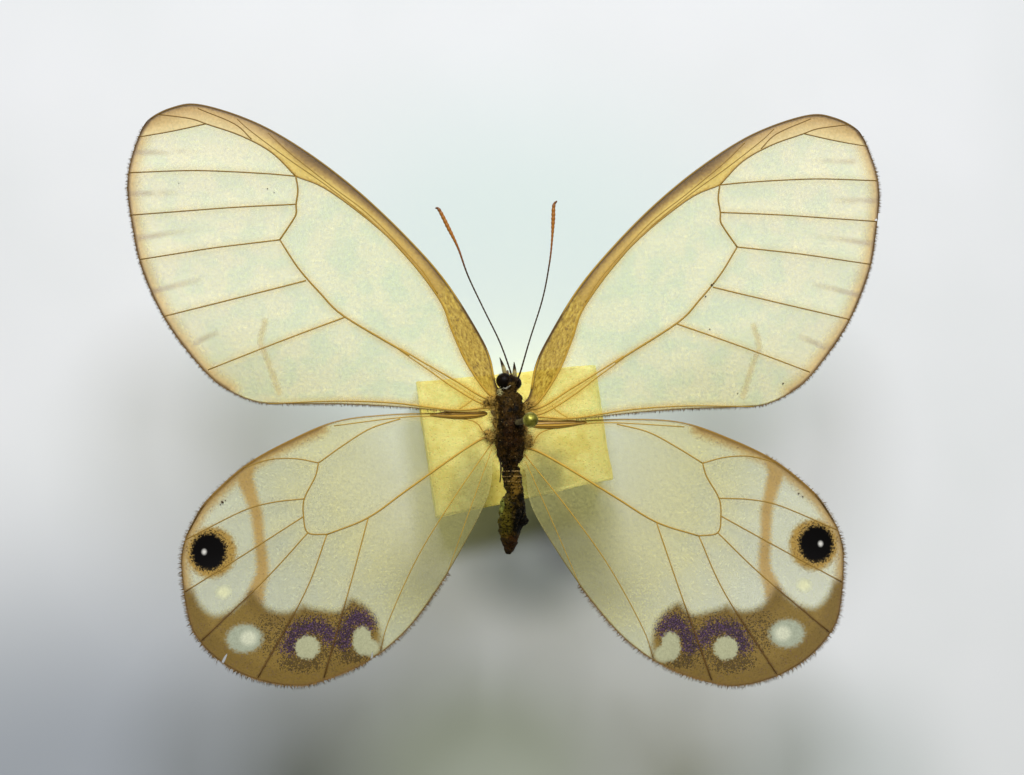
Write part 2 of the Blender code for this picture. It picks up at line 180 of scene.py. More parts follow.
def distance_to_paths(places, paths):
    """For each place, its distance to the nearest path, and on which side of it and how far along."""
    nearest = np.full(len(places), 1e9)
    side = np.zeros(len(places))
    along = np.zeros(len(places))
    for path in paths:
        corners = np.array([tuple(point)[:places.shape[1]] for point in path], float)
        steps = lengths(np.diff(corners, axis=0))
        reached = np.concatenate([[0.0], np.cumsum(steps)])
        for index, (start, end) in enumerate(zip(corners, corners[1:])):
            run = end - start
            offset = places - start
            share = np.clip(offset @ run / max(run @ run, 1e-12), 0.0, 1.0)
            distance = lengths(offset - share[:, None] * run)
            closer = distance < nearest
            nearest = np.where(closer, distance, nearest)
            side = np.where(closer, np.sign(run[0] * offset[:, 1] - run[1] * offset[:, 0]), side)
            along = np.where(closer, (reached[index] + share * steps[index]) / reached[-1], along)
    return nearest, side, along


def write_attribute(mesh, name, values):
    """Stores one number for each point of a mesh, for its material to read."""
    stored = mesh.attributes.new(name, "FLOAT", "POINT").data
    stored.foreach_set("value", np.asarray(values, np.float32))


def point_places(mesh):
    """The points of a mesh as rows of x, y and z."""
    places = np.zeros(len(mesh.vertices) * 3)
    mesh.vertices.foreach_get("co", places)
    return places.reshape(-1, 3)


print("mesh helpers ready")

# %% [markdown]
# ## Small helpers for materials
# A material is a graph of nodes. Written out node by node it is long, so these helpers add one
# node each and join it at once. What comes out of a node is kept as a Value, so that a sum of nodes
# reads like a sum of numbers. Colours are given as they look on a screen, from 0 to 255, and turned
# into the linear values that a shader works with.

# %% Material helpers
class Value:
    """An output of a node, which can be added, multiplied and so on; each sum is a node too."""

    def __init__(self, tree, socket):
        self.tree = tree
        self.socket = socket

    def __add__(self, other):
        return compute("ADD", self, other)

    def __sub__(self, other):
        return compute("SUBTRACT", self, other)

    def __rsub__(self, other):
        return compute("SUBTRACT", other, self)

    def __mul__(self, other):
        return compute("MULTIPLY", self, other)

    def __truediv__(self, other):
        return compute("DIVIDE", self, other)

    def __rtruediv__(self, other):
        return compute("DIVIDE", other, self)

    def __pow__(self, other):
        return compute("POWER", self, other)

    __radd__ = __add__
    __rmul__ = __mul__


def join(socket, value):
    """Joins a value to a socket, or sets the socket to a number or a colour."""
    if isinstance(value, Value):
        value.tree.links.new(value.socket, socket)
    else:
        socket.default_value = value


def set_sockets(sockets, **values):
    """Joins or sets sockets by name; an underscore stands for a space."""
    for name, value in values.items():
        join(sockets[name.replace("_", " ")], value)


def add_node(tree, kind, inputs=None, **settings):
    """Adds a node, sets its properties, and joins or sets its inputs."""
    node = tree.nodes.new(kind)
    for setting, value in settings.items():
        setattr(node, setting, value)
    for socket, value in (inputs or {}).items():
        join(node.inputs[socket], value)
    return node


def result_of(tree, kind, inputs, output=0, **settings):
    """Adds a node and gives one of its outputs."""
    return Value(tree, add_node(tree, kind, inputs, **settings).outputs[output])


def compute(operation, *terms):
    """One sum of values and numbers: ADD, MULTIPLY, MAXIMUM and so on."""
    tree = next(term.tree for term in terms if isinstance(term, Value))
    return result_of(tree, "ShaderNodeMath", dict(enumerate(terms)), operation=operation)


def largest(first, *others):
    """The largest of several values, such as masks that overlap."""
    for other in others:
        first = compute("MAXIMUM", first, other)
    return first


def vector_sum(operation, *vectors):
    """One sum of vectors: SUBTRACT, DIVIDE and so on."""
    return result_of(vectors[0].tree, "ShaderNodeVectorMath", dict(enumerate(vectors)),
                     operation=operation)


def length(vector):
    """How long a vector is."""
    return result_of(vector.tree, "ShaderNodeVectorMath", {0: vector}, "Value", operation="LENGTH")


def scaled_vector(vector, scale):
    """A vector or a colour, made larger or smaller."""
    return result_of(vector.tree, "ShaderNodeVectorMath", {0: vector, "Scale": scale},
                     operation="SCALE")


def fade(value, start, end):
    """0 where value is at start, 1 where it is at end, and smooth between."""
    limits = {"Value": value, "From Min": start, "From Max": end}
    return result_of(value.tree, "ShaderNodeMapRange", limits, "Result",
                     interpolation_type="SMOOTHSTEP")


def screen(colour):
    """A colour as it looks on a screen, from 0 to 255, as the linear colour that a node takes."""
    if isinstance(colour, Value):
        return colour
    shares = [value / 255 for value in colour]
    return (*(share / 12.92 if share < 0.0404 else ((share + 0.055) / 1.055) ** 2.4
              for share in shares), 1.0)


def paint(mask, under, over):
    """Lays one colour over another where the mask is 1."""
    layers = {0: mask, 6: screen(under), 7: screen(over)}
    return result_of(mask.tree, "ShaderNodeMix", layers, 2, data_type="RGBA")


def between(mask, low, high):
    """A number that goes from low to high as the mask goes from 0 to 1."""
    return result_of(mask.tree, "ShaderNodeMix", {0: mask, 2: low, 3: high}, data_type="FLOAT")


def ramp(value, stops):
    """A colour for each value from 0 to 1, through the given (position, colour) stops."""
    node = add_node(value.tree, "ShaderNodeValToRGB", {0: value})
    elements = node.color_ramp.elements
    while len(elements) < len(stops):
        elements.new(0.5)
    for element, (position, colour) in zip(elements, stops):
        element.position = position
        element.color = screen(colour)
    return Value(value.tree, node.outputs[0])


def attribute(tree, name, output="Fac"):
    """A value that the mesh stores for each point."""
    return result_of(tree, "ShaderNodeAttribute", None, output, attribute_name=name)


def object_place(tree):
    """The place on the object, in millimetres."""
    return scaled_vector(result_of(tree, "ShaderNodeTexCoord", None, "Object"), 1 / MM)


def noise_value(place, scale, detail=3.0, roughness=0.6):
    """A soft random pattern; scale is its number of blotches in a millimetre."""
    look = {"Vector": place, "Scale": scale, "Detail": detail, "Roughness": roughness}
    return result_of(place.tree, "ShaderNodeTexNoise", look, "Fac")


def bump(height, depth_mm, strength):
    """Turns a height pattern into a normal for the shader."""
    relief = {"Height": height, "Distance": depth_mm * MM, "Strength": strength}
    return result_of(height.tree, "ShaderNodeBump", relief, "Normal")


def new_material(name):
    """An empty material, the tree to add nodes to, and its shader's sockets."""
    material = bpy.data.materials.new(name)
    material.use_nodes = True
    tree = material.node_tree
    return material, tree, tree.nodes["Principled BSDF"].inputs


print("material helpers ready")

# %% [markdown]
# ## Shared effects
# Three effects come back in many finishes. An oval mark is a spot with a ragged rim, as dust-like
# wing scales make it. Scale grain is the fine sand-like pattern of those scales. A mottle is the
# larger blotching of a dried body. Each is built once as a group with named inputs.

# %% Shared effects as node groups
def start_group(name, vectors, numbers, results):
    """An empty node group with its named inputs, which are vectors or numbers, and its results."""
    group = bpy.data.node_groups.new(name, "ShaderNodeTree")
    for titles, in_out, kind in ((vectors, "INPUT", "NodeSocketVector"),
                                 (numbers, "INPUT", "NodeSocketFloat"),
                                 (results, "OUTPUT", "NodeSocketFloat")):
        for title in titles:
            group.interface.new_socket(title, in_out=in_out, socket_type=kind)
    inputs = group.nodes.new("NodeGroupInput").outputs
    given = {socket.name: Value(group, socket) for socket in inputs}
    return group, given, group.nodes.new("NodeGroupOutput").inputs


def make_oval_mark():
    """A mask that is 1 inside an oval; the noise times Ragged moves its rim about."""
    group, given, result = start_group("oval_mark", ["Place", "Centre", "Half Size"],
                                       ["Blur", "Noise", "Ragged"], ["Mask"])
    offset = vector_sum("SUBTRACT", given["Place"], given["Centre"])
    scaled = vector_sum("DIVIDE", offset, given["Half Size"])
    reach = length(scaled) + (given["Noise"] - 0.5) * given["Ragged"]
    join(result["Mask"], fade(reach, 1.0 + given["Blur"], 1.0 - given["Blur"]))
    return group


def make_scale_grain():
    """Fine grains such as wing scales: each has a tone of its own and a height."""
    group, given, result = start_group("scale_grain", ["Place"], ["Fineness"],
                                       ["Grain", "Second", "Height"])
    cells = add_node(group, "ShaderNodeTexVoronoi", {"Vector": given["Place"],
                                                     "Scale": given["Fineness"]}).outputs
    tones = add_node(group, "ShaderNodeSeparateColor", {0: Value(group, cells["Color"])}).outputs
    join(result["Grain"], Value(group, tones[0]))
    join(result["Second"], Value(group, tones[1]))
    join(result["Height"], 1.0 - Value(group, cells["Distance"]))
    return group


def make_mottle():
    """Blotches of a dried body, with clear contrast between them."""
    group, given, result = start_group("mottle", ["Place"], ["Size"], ["Blotch", "Height"])
    scale = 1.0 / given["Size"]
    broad = noise_value(given["Place"], scale, 5.0, 0.65)
    fine = noise_value(given["Place"], scale * 6.0)
    join(result["Blotch"], fade(broad, 0.38, 0.62))
    join(result["Height"], fine * 0.5 + broad)
    return group


oval_mark = make_oval_mark()
scale_grain = make_scale_grain()
mottle = make_mottle()


def place_group(group, **inputs):
    """Puts a shared effect into a material with its own values."""
    tree = next(value.tree for value in inputs.values() if isinstance(value, Value))
    node = tree.nodes.new("ShaderNodeGroup")
    node.node_tree = group
    set_sockets(node.inputs, **inputs)
    return {socket.name: Value(tree, socket) for socket in node.outputs}


def spot(place, rough, centre, half_size, blur, ragged):
    """One oval mark at a place on a wing, in millimetres, with its rim moved by a noise."""
    return place_group(oval_mark, Place=place, Centre=(*centre, 0.0), Noise=rough,
                       Half_Size=(*half_size, 1.0), Blur=blur, Ragged=ragged)["Mask"]


def in_oval(place, centre, half_size, degrees=0.0):
    """The place as seen from an oval that lies at an angle: 0 in its middle, 1 long at its rim."""
    oval = {"Vector": place, "Location": (*centre, 0.0), "Rotation": (0, 0, math.radians(degrees)),
            "Scale": (*half_size, 1.0)}
    return result_of(place.tree, "ShaderNodeMapping", oval, vector_type="TEXTURE")


print("shared effects:", [group.name for group in (oval_mark, scale_grain, mottle)])

# %% [markdown]
# ## The wings' plan
# A forewing and a hindwing are each drawn once, in millimetres out from the body and forward, and
# mirrored for the other side. The dried wings were not set quite evenly, so each pair is turned
# and shifted a little. The outline and the veins are short lists of points with smooth curves
# through them, the same ones as in the frame.

# %% Outlines and veins
WING_PLANE_Z = 25.0
HINDWING_DROP = 0.45
WING_LIFT = math.radians(2.9)
FORE_TURN = math.radians(0.8)
HIND_TURN = math.radians(1.8)
FORE_SHIFT = {"right": (-0.2, -0.4), "left": (-0.2, 0.4)}
HIND_SHIFT = {"right": (-0.6, -0.5), "left": (-0.7, 0.5)}
HIND_SCALE = {"right": 1.015, "left": 0.985}

FOREWING_EDGE = [
    (0.5, 1.6), (1.3, 2.6), (1.8, 4.9), (2.8, 7.0), (5.3, 11.0), (8.4, 14.6), (11.8, 17.9),
    (15.5, 20.8), (19.6, 23.3), (24.0, 24.8), (26.3, 24.6), (28.4, 23.4), (29.4, 21.3),
    (29.9, 19.0), (29.8, 16.7), (28.9, 12.0), (27.0, 7.7), (24.2, 3.9), (22.4, 2.4),
    (20.2, 1.4), (17.9, 1.2), (13.2, 1.1), (8.5, 0.8), (4.5, 0.4), (2.4, 0.4), (0.5, 0.7),
]
HINDWING_EDGE = [
    (0.5, 0.1), (2.5, 0.4), (5.6, 0.5), (9.7, 0.5), (13.7, 0.1), (17.4, -1.3), (21.0, -3.2),
    (24.0, -5.8), (25.2, -7.5), (26.0, -9.3), (26.2, -11.3), (25.7, -15.3), (24.8, -17.1),
    (23.4, -18.6), (21.7, -19.7), (19.9, -20.4), (17.9, -20.8), (15.9, -20.7), (12.1, -19.4),
    (8.8, -17.1), (6.2, -14.1), (4.0, -10.8), (2.0, -7.3), (1.3, -5.4), (1.1, -3.4),
    (0.5, -2.4),
]

# The outline of a wing, and which of its points are the apex and the rear corner
PLANS = {"forewing": (FOREWING_EDGE, 11, 18), "hindwing": (HINDWING_EDGE, 7, 18)}
OUTLINE_STEPS = 8

# Each vein is its points and its radius in millimetres where it starts and where it ends
FOREWING_VEINS = {
    "radius": ([(0.8, 1.8), (1.9, 1.9), (3.6, 4.3), (4.8, 7.0), (5.9, 9.7), (9.6, 14.3),
                (14.2, 18.0), (16.9, 19.2)], 0.12, 0.065),
    "subcosta": ([(5.9, 9.9), (7.4, 12.1), (11.0, 16.0), (14.2, 18.5), (17.2, 20.9),
                  (19.0, 22.6)], 0.05, 0.045),
    "radial_1": ([(7.5, 11.9), (10.6, 15.3), (14.2, 18.25), (17.4, 20.5), (20.3, 22.7),
                  (21.4, 23.7)], 0.05, 0.045),
    "radial_stem": ([(16.9, 19.2), (18.8, 21.1), (21.2, 22.4), (23.8, 23.3)], 0.07, 0.06),
    "radial_front": ([(20.3, 22.1), (21.6, 23.3), (24.4, 24.5)], 0.06, 0.05),
    "radial_middle": ([(23.8, 23.3), (25.0, 23.7), (27.4, 24.0)], 0.06, 0.05),
    "radial_rear": ([(23.8, 23.3), (26.4, 22.7), (29.1, 22.2)], 0.06, 0.05),
    "cell_end": ([(16.9, 19.2), (16.75, 18.1), (16.9, 17.0), (16.9, 16.3), (17.2, 15.7),
                  (18.2, 14.2)], 0.075, 0.08),
    "median_1": ([(16.9, 19.2), (19.4, 19.4), (24.6, 19.6), (29.85, 19.4)], 0.065, 0.055),
    "median_2": ([(16.9, 17.0), (22.0, 16.7), (29.7, 16.1)], 0.065, 0.055),
    "median_3": ([(18.2, 14.2), (23.6, 13.5), (29.1, 12.6)], 0.065, 0.055),
    "cubital": ([(8.2, 5.05), (8.9, 5.5), (13.3, 8.2), (15.1, 10.0), (16.8, 12.0),
                 (18.2, 14.2)], 0.10, 0.07),
    "cubital_root_front": ([(0.8, 1.45), (2.3, 1.62), (4.5, 2.95), (6.6, 4.18),
                            (8.9, 5.58)], 0.09, 0.06),
    "cubital_root_rear": ([(0.8, 1.1), (2.4, 1.12), (4.8, 2.5), (6.8, 3.95), (8.9, 5.42)], 0.08, 0.05),
    "cubital_root_middle": ([(0.9, 1.25), (2.4, 1.35), (4.6, 2.7), (6.6, 4.02)], 0.035, 0.02),
    "cubital_1": ([(16.2, 11.0), (18.9, 10.3), (24.4, 8.9), (27.2, 8.2)], 0.07, 0.055),
    "cubital_2": ([(13.2, 8.1), (17.5, 6.5), (23.95, 4.0)], 0.07, 0.055),
    "anal": ([(19.2, 1.35), (14.1, 1.5), (9.5, 1.3), (4.9, 0.7), (2.4, 0.8), (0.8, 1.0)], 0.05, 0.09),
    "anal_cross": ([(4.3, 0.75), (3.4, 1.35), (3.1, 1.75)], 0.045, 0.045),
}
HINDWING_VEINS = {
    "subcosta": ([(0.8, -1.4), (1.8, -1.3), (2.4, -0.5), (3.4, -0.1), (5.9, 0.2), (8.6, 0.2),
                  (13.9, -0.3)], 0.045, 0.05),
    "radial_sector": ([(8.6, 0.1), (11.0, -0.6), (13.1, -1.8), (15.2, -3.2)], 0.06, 0.065),
    "median_1": ([(15.2, -3.2), (17.0, -2.8), (19.0, -2.8), (21.0, -3.35)], 0.06, 0.05),
    "cell_end": ([(15.2, -3.2), (15.5, -4.3), (16.4, -6.0), (16.5, -7.4), (16.2, -8.7),
                  (14.7, -8.9)], 0.065, 0.065),
    "median_2": ([(16.4, -6.0), (18.9, -6.2), (21.3, -6.8), (25.8, -8.9)], 0.06, 0.055),
    "median_3": ([(16.5, -7.4), (21.2, -10.2), (26.0, -13.0)], 0.06, 0.055),
    "cubital": ([(0.8, -1.5), (2.0, -1.7), (4.1, -2.9), (8.2, -5.6), (11.4, -7.7),
                 (14.7, -8.9)], 0.12, 0.07),
    "cubital_1": ([(16.2, -8.7), (19.5, -12.1), (24.8, -16.9)], 0.06, 0.055),
    "cubital_2": ([(14.7, -8.9), (16.6, -13.5), (20.5, -20.05)], 0.06, 0.055),
    "cubital_3": ([(11.4, -7.7), (12.9, -12.7), (15.3, -20.3)], 0.06, 0.055),
    "anal_1": ([(1.2, -2.0), (4.7, -6.7), (7.6, -11.1), (10.0, -15.9), (10.75, -18.3)], 0.05, 0.045),
    "anal_3": ([(1.3, -2.6), (3.4, -7.8), (5.2, -12.4)], 0.04, 0.035),
}
VEINS = {"forewing": FOREWING_VEINS, "hindwing": HINDWING_VEINS}
print("veins drawn:", {kind: len(veins) for kind, veins in VEINS.items()})

# %% [markdown]
# ## From an outline to a wing
# A wing could be cut out of a flat sheet, but its rim would be ragged. Here a square grid is drawn
# out to the outline instead: its four sides follow the front edge, the outer margin, the rear
# margin and the root, and every inside point is the blend of the four. Rows of faces then run
# along the rim, and the rim is as smooth as the outline.

# %% Shape a grid to an outline
GRID_ALONG = 170
GRID_ACROSS = 110
FRINGE_REACH = 0.14
# How high a wave is, how many there are in a millimetre, and where it is read in the noise
WING_WAVES = [(0.30, 0.09, 4.0), (0.10, 0.28, 9.0)]
WAVES_FULL_MM = 12.0


def resample(path, count):
    """Evenly spaced points along a path, its two ends among them."""
    places = np.array([tuple(point) for point in path], float)
    reached = np.concatenate([[0.0], np.cumsum(lengths(np.diff(places, axis=0)))])
    wanted = np.linspace(0.0, reached[-1], count)
    return np.stack([np.interp(wanted, reached, places[:, axis]) for axis in range(2)], axis=1)


def outline_sides(kind):
    """Front, outer, rear and root side of a wing's outline; the rear one runs from the root out."""
    edge, *corners = PLANS[kind]
    count = len(edge)
    looped = [edge[(index - 1) % count] for index in range(count + 3)]
    outline = smooth_path(looped, OUTLINE_STEPS)[OUTLINE_STEPS:OUTLINE_STEPS * (count + 1)]
    apex, rear_corner, last = (corner * OUTLINE_STEPS for corner in (*corners, count - 1))
    return (outline[:apex + 1], outline[apex:rear_corner + 1], outline[rear_corner:last + 1][::-1],
            [outline[0], outline[last]])


def pull_in(side, amount):
    """Moves a side inward, to the right of its run, by up to amount; its first point stays."""
    direction = np.gradient(side, axis=0)
    direction /= lengths(direction)[:, None]
    inward = np.stack([direction[:, 1], -direction[:, 0]], axis=1)
    return side + inward * amount


def wing_grid(kind):
    """Places of a grid that fills a wing's outline, inside its fringe."""
    front, outer, rear, root = outline_sides(kind)
    front = resample(front, GRID_ALONG)
    outer = pull_in(resample(outer, GRID_ACROSS), FRINGE_REACH)
    rear = pull_in(resample(rear, GRID_ALONG), -FRINGE_REACH)
    root = resample(root, GRID_ACROSS)
    front[-1] = outer[0]
    rear[-1] = outer[-1]
    rear[0] = root[-1]
    u = np.linspace(0.0, 1.0, GRID_ALONG)[:, None, None]
    v = np.linspace(0.0, 1.0, GRID_ACROSS)[None, :, None]
    along = (1 - v) * front[:, None] + v * rear[:, None]
    across = (1 - u) * root[None] + u * outer[None]
    corners = ((1 - u) * (1 - v) * front[0] + u * (1 - v) * front[-1]
               + (1 - u) * v * rear[0] + u * v * rear[-1])
    return (along + across - corners).reshape(-1, 2)


def wing_height(places):
    """The gentle unevenness of a dried wing, in millimetres above its plane."""
    heights = np.zeros(len(places))
    for amount, scale, level in WING_WAVES:
        heights += [amount * noise.noise((x * scale, y * scale, level)) for x, y in places]
    return heights * np.clip(lengths(places) / WAVES_FULL_MM, 0.0, 1.0)


def wing_matrix(side, kind):
    """From a wing's own plan, in millimetres, to its place on the body, in metres."""
    sign = 1 if side == "right" else -1
    fore = kind == "forewing"
    shift = (FORE_SHIFT if fore else HIND_SHIFT)[side]
    height = WING_PLANE_Z if fore else WING_PLANE_Z - HINDWING_DROP
    scale = 1.0 if fore else HIND_SCALE[side]
    turn = FORE_TURN if fore else HIND_TURN
    return (Matrix.Scale(MM, 4) @ Matrix.Translation((*shift, height))
            @ Matrix.Rotation(turn, 4, "Z") @ Matrix.Rotation(-sign * WING_LIFT, 4, "Y")
            @ Matrix.Diagonal((sign * scale, scale, 1.0, 1.0)))


print("one wing is a grid of", GRID_ALONG, "by", GRID_ACROSS, "points")

# %% [markdown]
# ## What a wing's material needs to know
# Margins, bands and smudges follow the outline and the veins, not straight lines. So each point of
# a wing stores how far it is from the outer margin, the front edge, the nearest vein and so on, in
# millimetres. The material only turns these distances into colour, and stays sharp however close
# the camera comes. A slow random value is stored too, since it is the same for every grain nearby.

# %% Lines and fields that the markings follow
FORE_RADIAL_LINE = ["radius", "radial_stem", "radial_rear"]
BEYOND_APEX = (31.0, 21.8)
FORE_STREAK = [(19.4, 7.8), (19.75, 6.2), (19.45, 5.4), (19.0, 4.1), (18.35, 2.2)]
FORE_FOLDS = [
    [(29.8, 21.0), (24.6, 21.1)],
    [(29.8, 17.8), (26.2, 17.85)],
    [(29.4, 14.25), (25.8, 14.85), (17.8, 15.6)],
    [(27.8, 10.2), (24.4, 11.1)],
    [(25.4, 5.9), (23.2, 6.9)],
]
HIND_BAND = [
    (21.2, -2.6), (20.95, -3.4), (21.05, -4.1), (20.8, -5.0), (20.5, -5.9), (20.2, -6.9),
    (20.1, -7.7), (20.0, -9.0), (19.85, -10.7), (19.85, -11.8), (20.2, -12.6), (20.5, -13.6),
]
HIND_BAND_HALF_WIDTHS = {-14.0: 0.80, -12.6: 0.55, -9.0: 0.42, -6.0: 0.50, -4.2: 0.68, -2.8: 0.95}
HIND_FIELD_EDGE = [
    (26.6, -12.5), (25.3, -12.8), (24.9, -13.6), (24.35, -14.4), (23.6, -14.85), (22.9, -14.7),
    (22.2, -14.45), (21.4, -13.7), (20.7, -13.0), (20.0, -13.9), (19.3, -14.6), (18.2, -14.85),
    (17.2, -14.65), (16.7, -14.35), (16.2, -14.6), (15.0, -14.85), (14.0, -14.95), (13.4, -14.5),
    (13.0, -14.05), (12.3, -14.35), (11.6, -14.9), (11.1, -15.6), (10.7, -16.6), (10.6, -17.8),
    (10.4, -19.6),
]
HIND_PURPLE = [
    [(17.9, -17.6), (17.6, -16.9), (17.1, -16.35), (16.1, -16.1), (15.3, -16.3), (14.75, -16.9)],
    [(13.7, -17.5), (13.4, -16.6), (12.85, -15.8), (12.2, -15.5), (11.6, -16.0)],
]
HIND_MARGIN_START = 15.0
TEAR_BLUR = 0.2
TEARS = {
    "right_forewing": [((29.72, 16.25), (0.36, 0.16), 14.0)],
    "left_hindwing": [((23.04, -18.45), (0.58, 0.10), 118.0), ((11.47, -18.90), (0.55, 0.09), 98.0)],
}


def signed_distance(places, path, inner_side):
    """Distance to a line, positive on its inner side (1 left of its run, -1 right of it)."""
    distance, side, _ = distance_to_paths(places, [path])
    return distance * side * inner_side


def shared_fields(places, kind, outer, rear, seed):
    """Distances and slow noise that every wing has."""
    vein_paths = [smooth_path(points, 4) for points, _, _ in VEINS[kind].values()]
    slow = [noise.fractal((x * 0.5, y * 0.5, seed), 0.9, 2.0, 3) for x, y in places]
    return {
        "outer_mm": distance_to_paths(places, [outer])[0],
        "rear_mm": distance_to_paths(places, [rear])[0],
        "vein_mm": distance_to_paths(places, vein_paths)[0],
        "slow": np.array(slow) * 0.5 + 0.5,
        "reach_mm": lengths(places),
    }


def forewing_fields(places, seed):
    """Distances for a forewing's markings."""
    front, outer, rear, _ = outline_sides("forewing")
    radial = []
    for name in FORE_RADIAL_LINE:
        radial += smooth_path(FOREWING_VEINS[name][0], 6)
    radial.append(Vector(BEYOND_APEX))
    fields = shared_fields(places, "forewing", outer, rear, seed)
    fields["front_mm"] = distance_to_paths(places, [front + outer[1:12]])[0]
    fields["band_mm"] = signed_distance(places, radial, 1)
    fields["streak_mm"] = distance_to_paths(places, [smooth_path(FORE_STREAK, 4)])[0]
    fields["fold_mm"] = distance_to_paths(places, FORE_FOLDS)[0]
    return fields


def hindwing_fields(places, seed):
    """Distances for a hindwing's markings; its dark margin begins on the front edge."""
    front, outer, rear, _ = outline_sides("hindwing")
    margin = [point for point in front if point.x > HIND_MARGIN_START] + outer[1:]
    fields = shared_fields(places, "hindwing", margin, rear, seed)
    rows = sorted(HIND_BAND_HALF_WIDTHS)
    half_width = np.interp(places[:, 1], rows, [HIND_BAND_HALF_WIDTHS[row] for row in rows])
    fields["front_mm"] = distance_to_paths(places, [front])[0]
    fields["band_mm"] = half_width - distance_to_paths(places, [smooth_path(HIND_BAND, 4)])[0]
    fields["field_mm"] = signed_distance(places, smooth_path(HIND_FIELD_EDGE, 4), 1)
    purple = [smooth_path(line, 4) for line in HIND_PURPLE]
    fields["purple_mm"] = distance_to_paths(places, purple)[0]
    return fields


print("markings follow", len(FORE_FOLDS) + 1, "lines on a forewing and",
      len(HIND_PURPLE) + 2, "on a hindwing")

# %% [markdown]
# ## Wing finishes
# A clearwing's membrane is nearly bare: cream, slightly yellow, and thin enough to show what lies
# behind. The colour sits in the scales, which cover the margins, the front band and the spots.
# Alpha lets the bare membrane show the foam through it, and the scaled parts are almost opaque.
# Each membrane has an upper and a lower face, so its alpha works twice.

# %% Forewing finish
CLEAR = (228, 221, 146)
CLEAR_GREEN = (206, 214, 140)
TAN = (206, 166, 92)
GOLD = (208, 166, 58)
EDGE_BROWN = (100, 72, 34)
CLEAR_ALPHA = 0.28
HIND_CLEAR_ALPHA = 0.34
ROOT_CLEAR_ALPHA = 0.13
SCALED_ALPHA = 0.84
BAND_STOPS = [
    (0.0, (190, 154, 62)), (0.14, (222, 194, 104)), (0.38, (212, 182, 92)),
    (0.52, (180, 146, 70)), (0.70, (140, 108, 54)), (1.0, (84, 60, 30)),
]
ROOT_BAND_STOPS = [
    (0.0, (176, 138, 54)), (0.40, (196, 160, 70)), (0.60, (176, 142, 66)),
    (0.80, (138, 104, 48)), (1.0, (84, 60, 28)),
]
APEX_STOPS = [
    (0.0, (222, 202, 146)), (0.4, (214, 186, 126)), (0.75, (194, 160, 100)),
    (1.0, (132, 102, 58)),
]
POCKET_CENTRE = (3.6, 6.3)
POCKET_HALF = (3.4, 5.6)
POCKET_STOPS = [(0.34, (96, 70, 18)), (0.46, (174, 138, 36)), (0.64, (216, 186, 78))]


def distances(tree, *names):
    """Values that a wing stores for each point, in millimetres."""
    return [attribute(tree, name + "_mm") for name in names]


def without_tears(alpha, place, tears):
    """Takes the membrane away where it is torn, on the wings that have tears."""
    torn = largest(*(fade(length(in_oval(place, *tear)), 1 + TEAR_BLUR, 1 - TEAR_BLUR)
                     for tear in tears))
    return alpha * (1.0 - torn * attribute(alpha.tree, "torn"))


def vein_halo(vein, strength):
    """The soft golden stain beside a vein."""
    return fade(vein, 0.95, 0.0) ** 2.4 * strength


def speckled(colour, grain, low, high):
    """Makes each wing scale a little darker or lighter."""
    return scaled_vector(colour, between(grain, low, high))


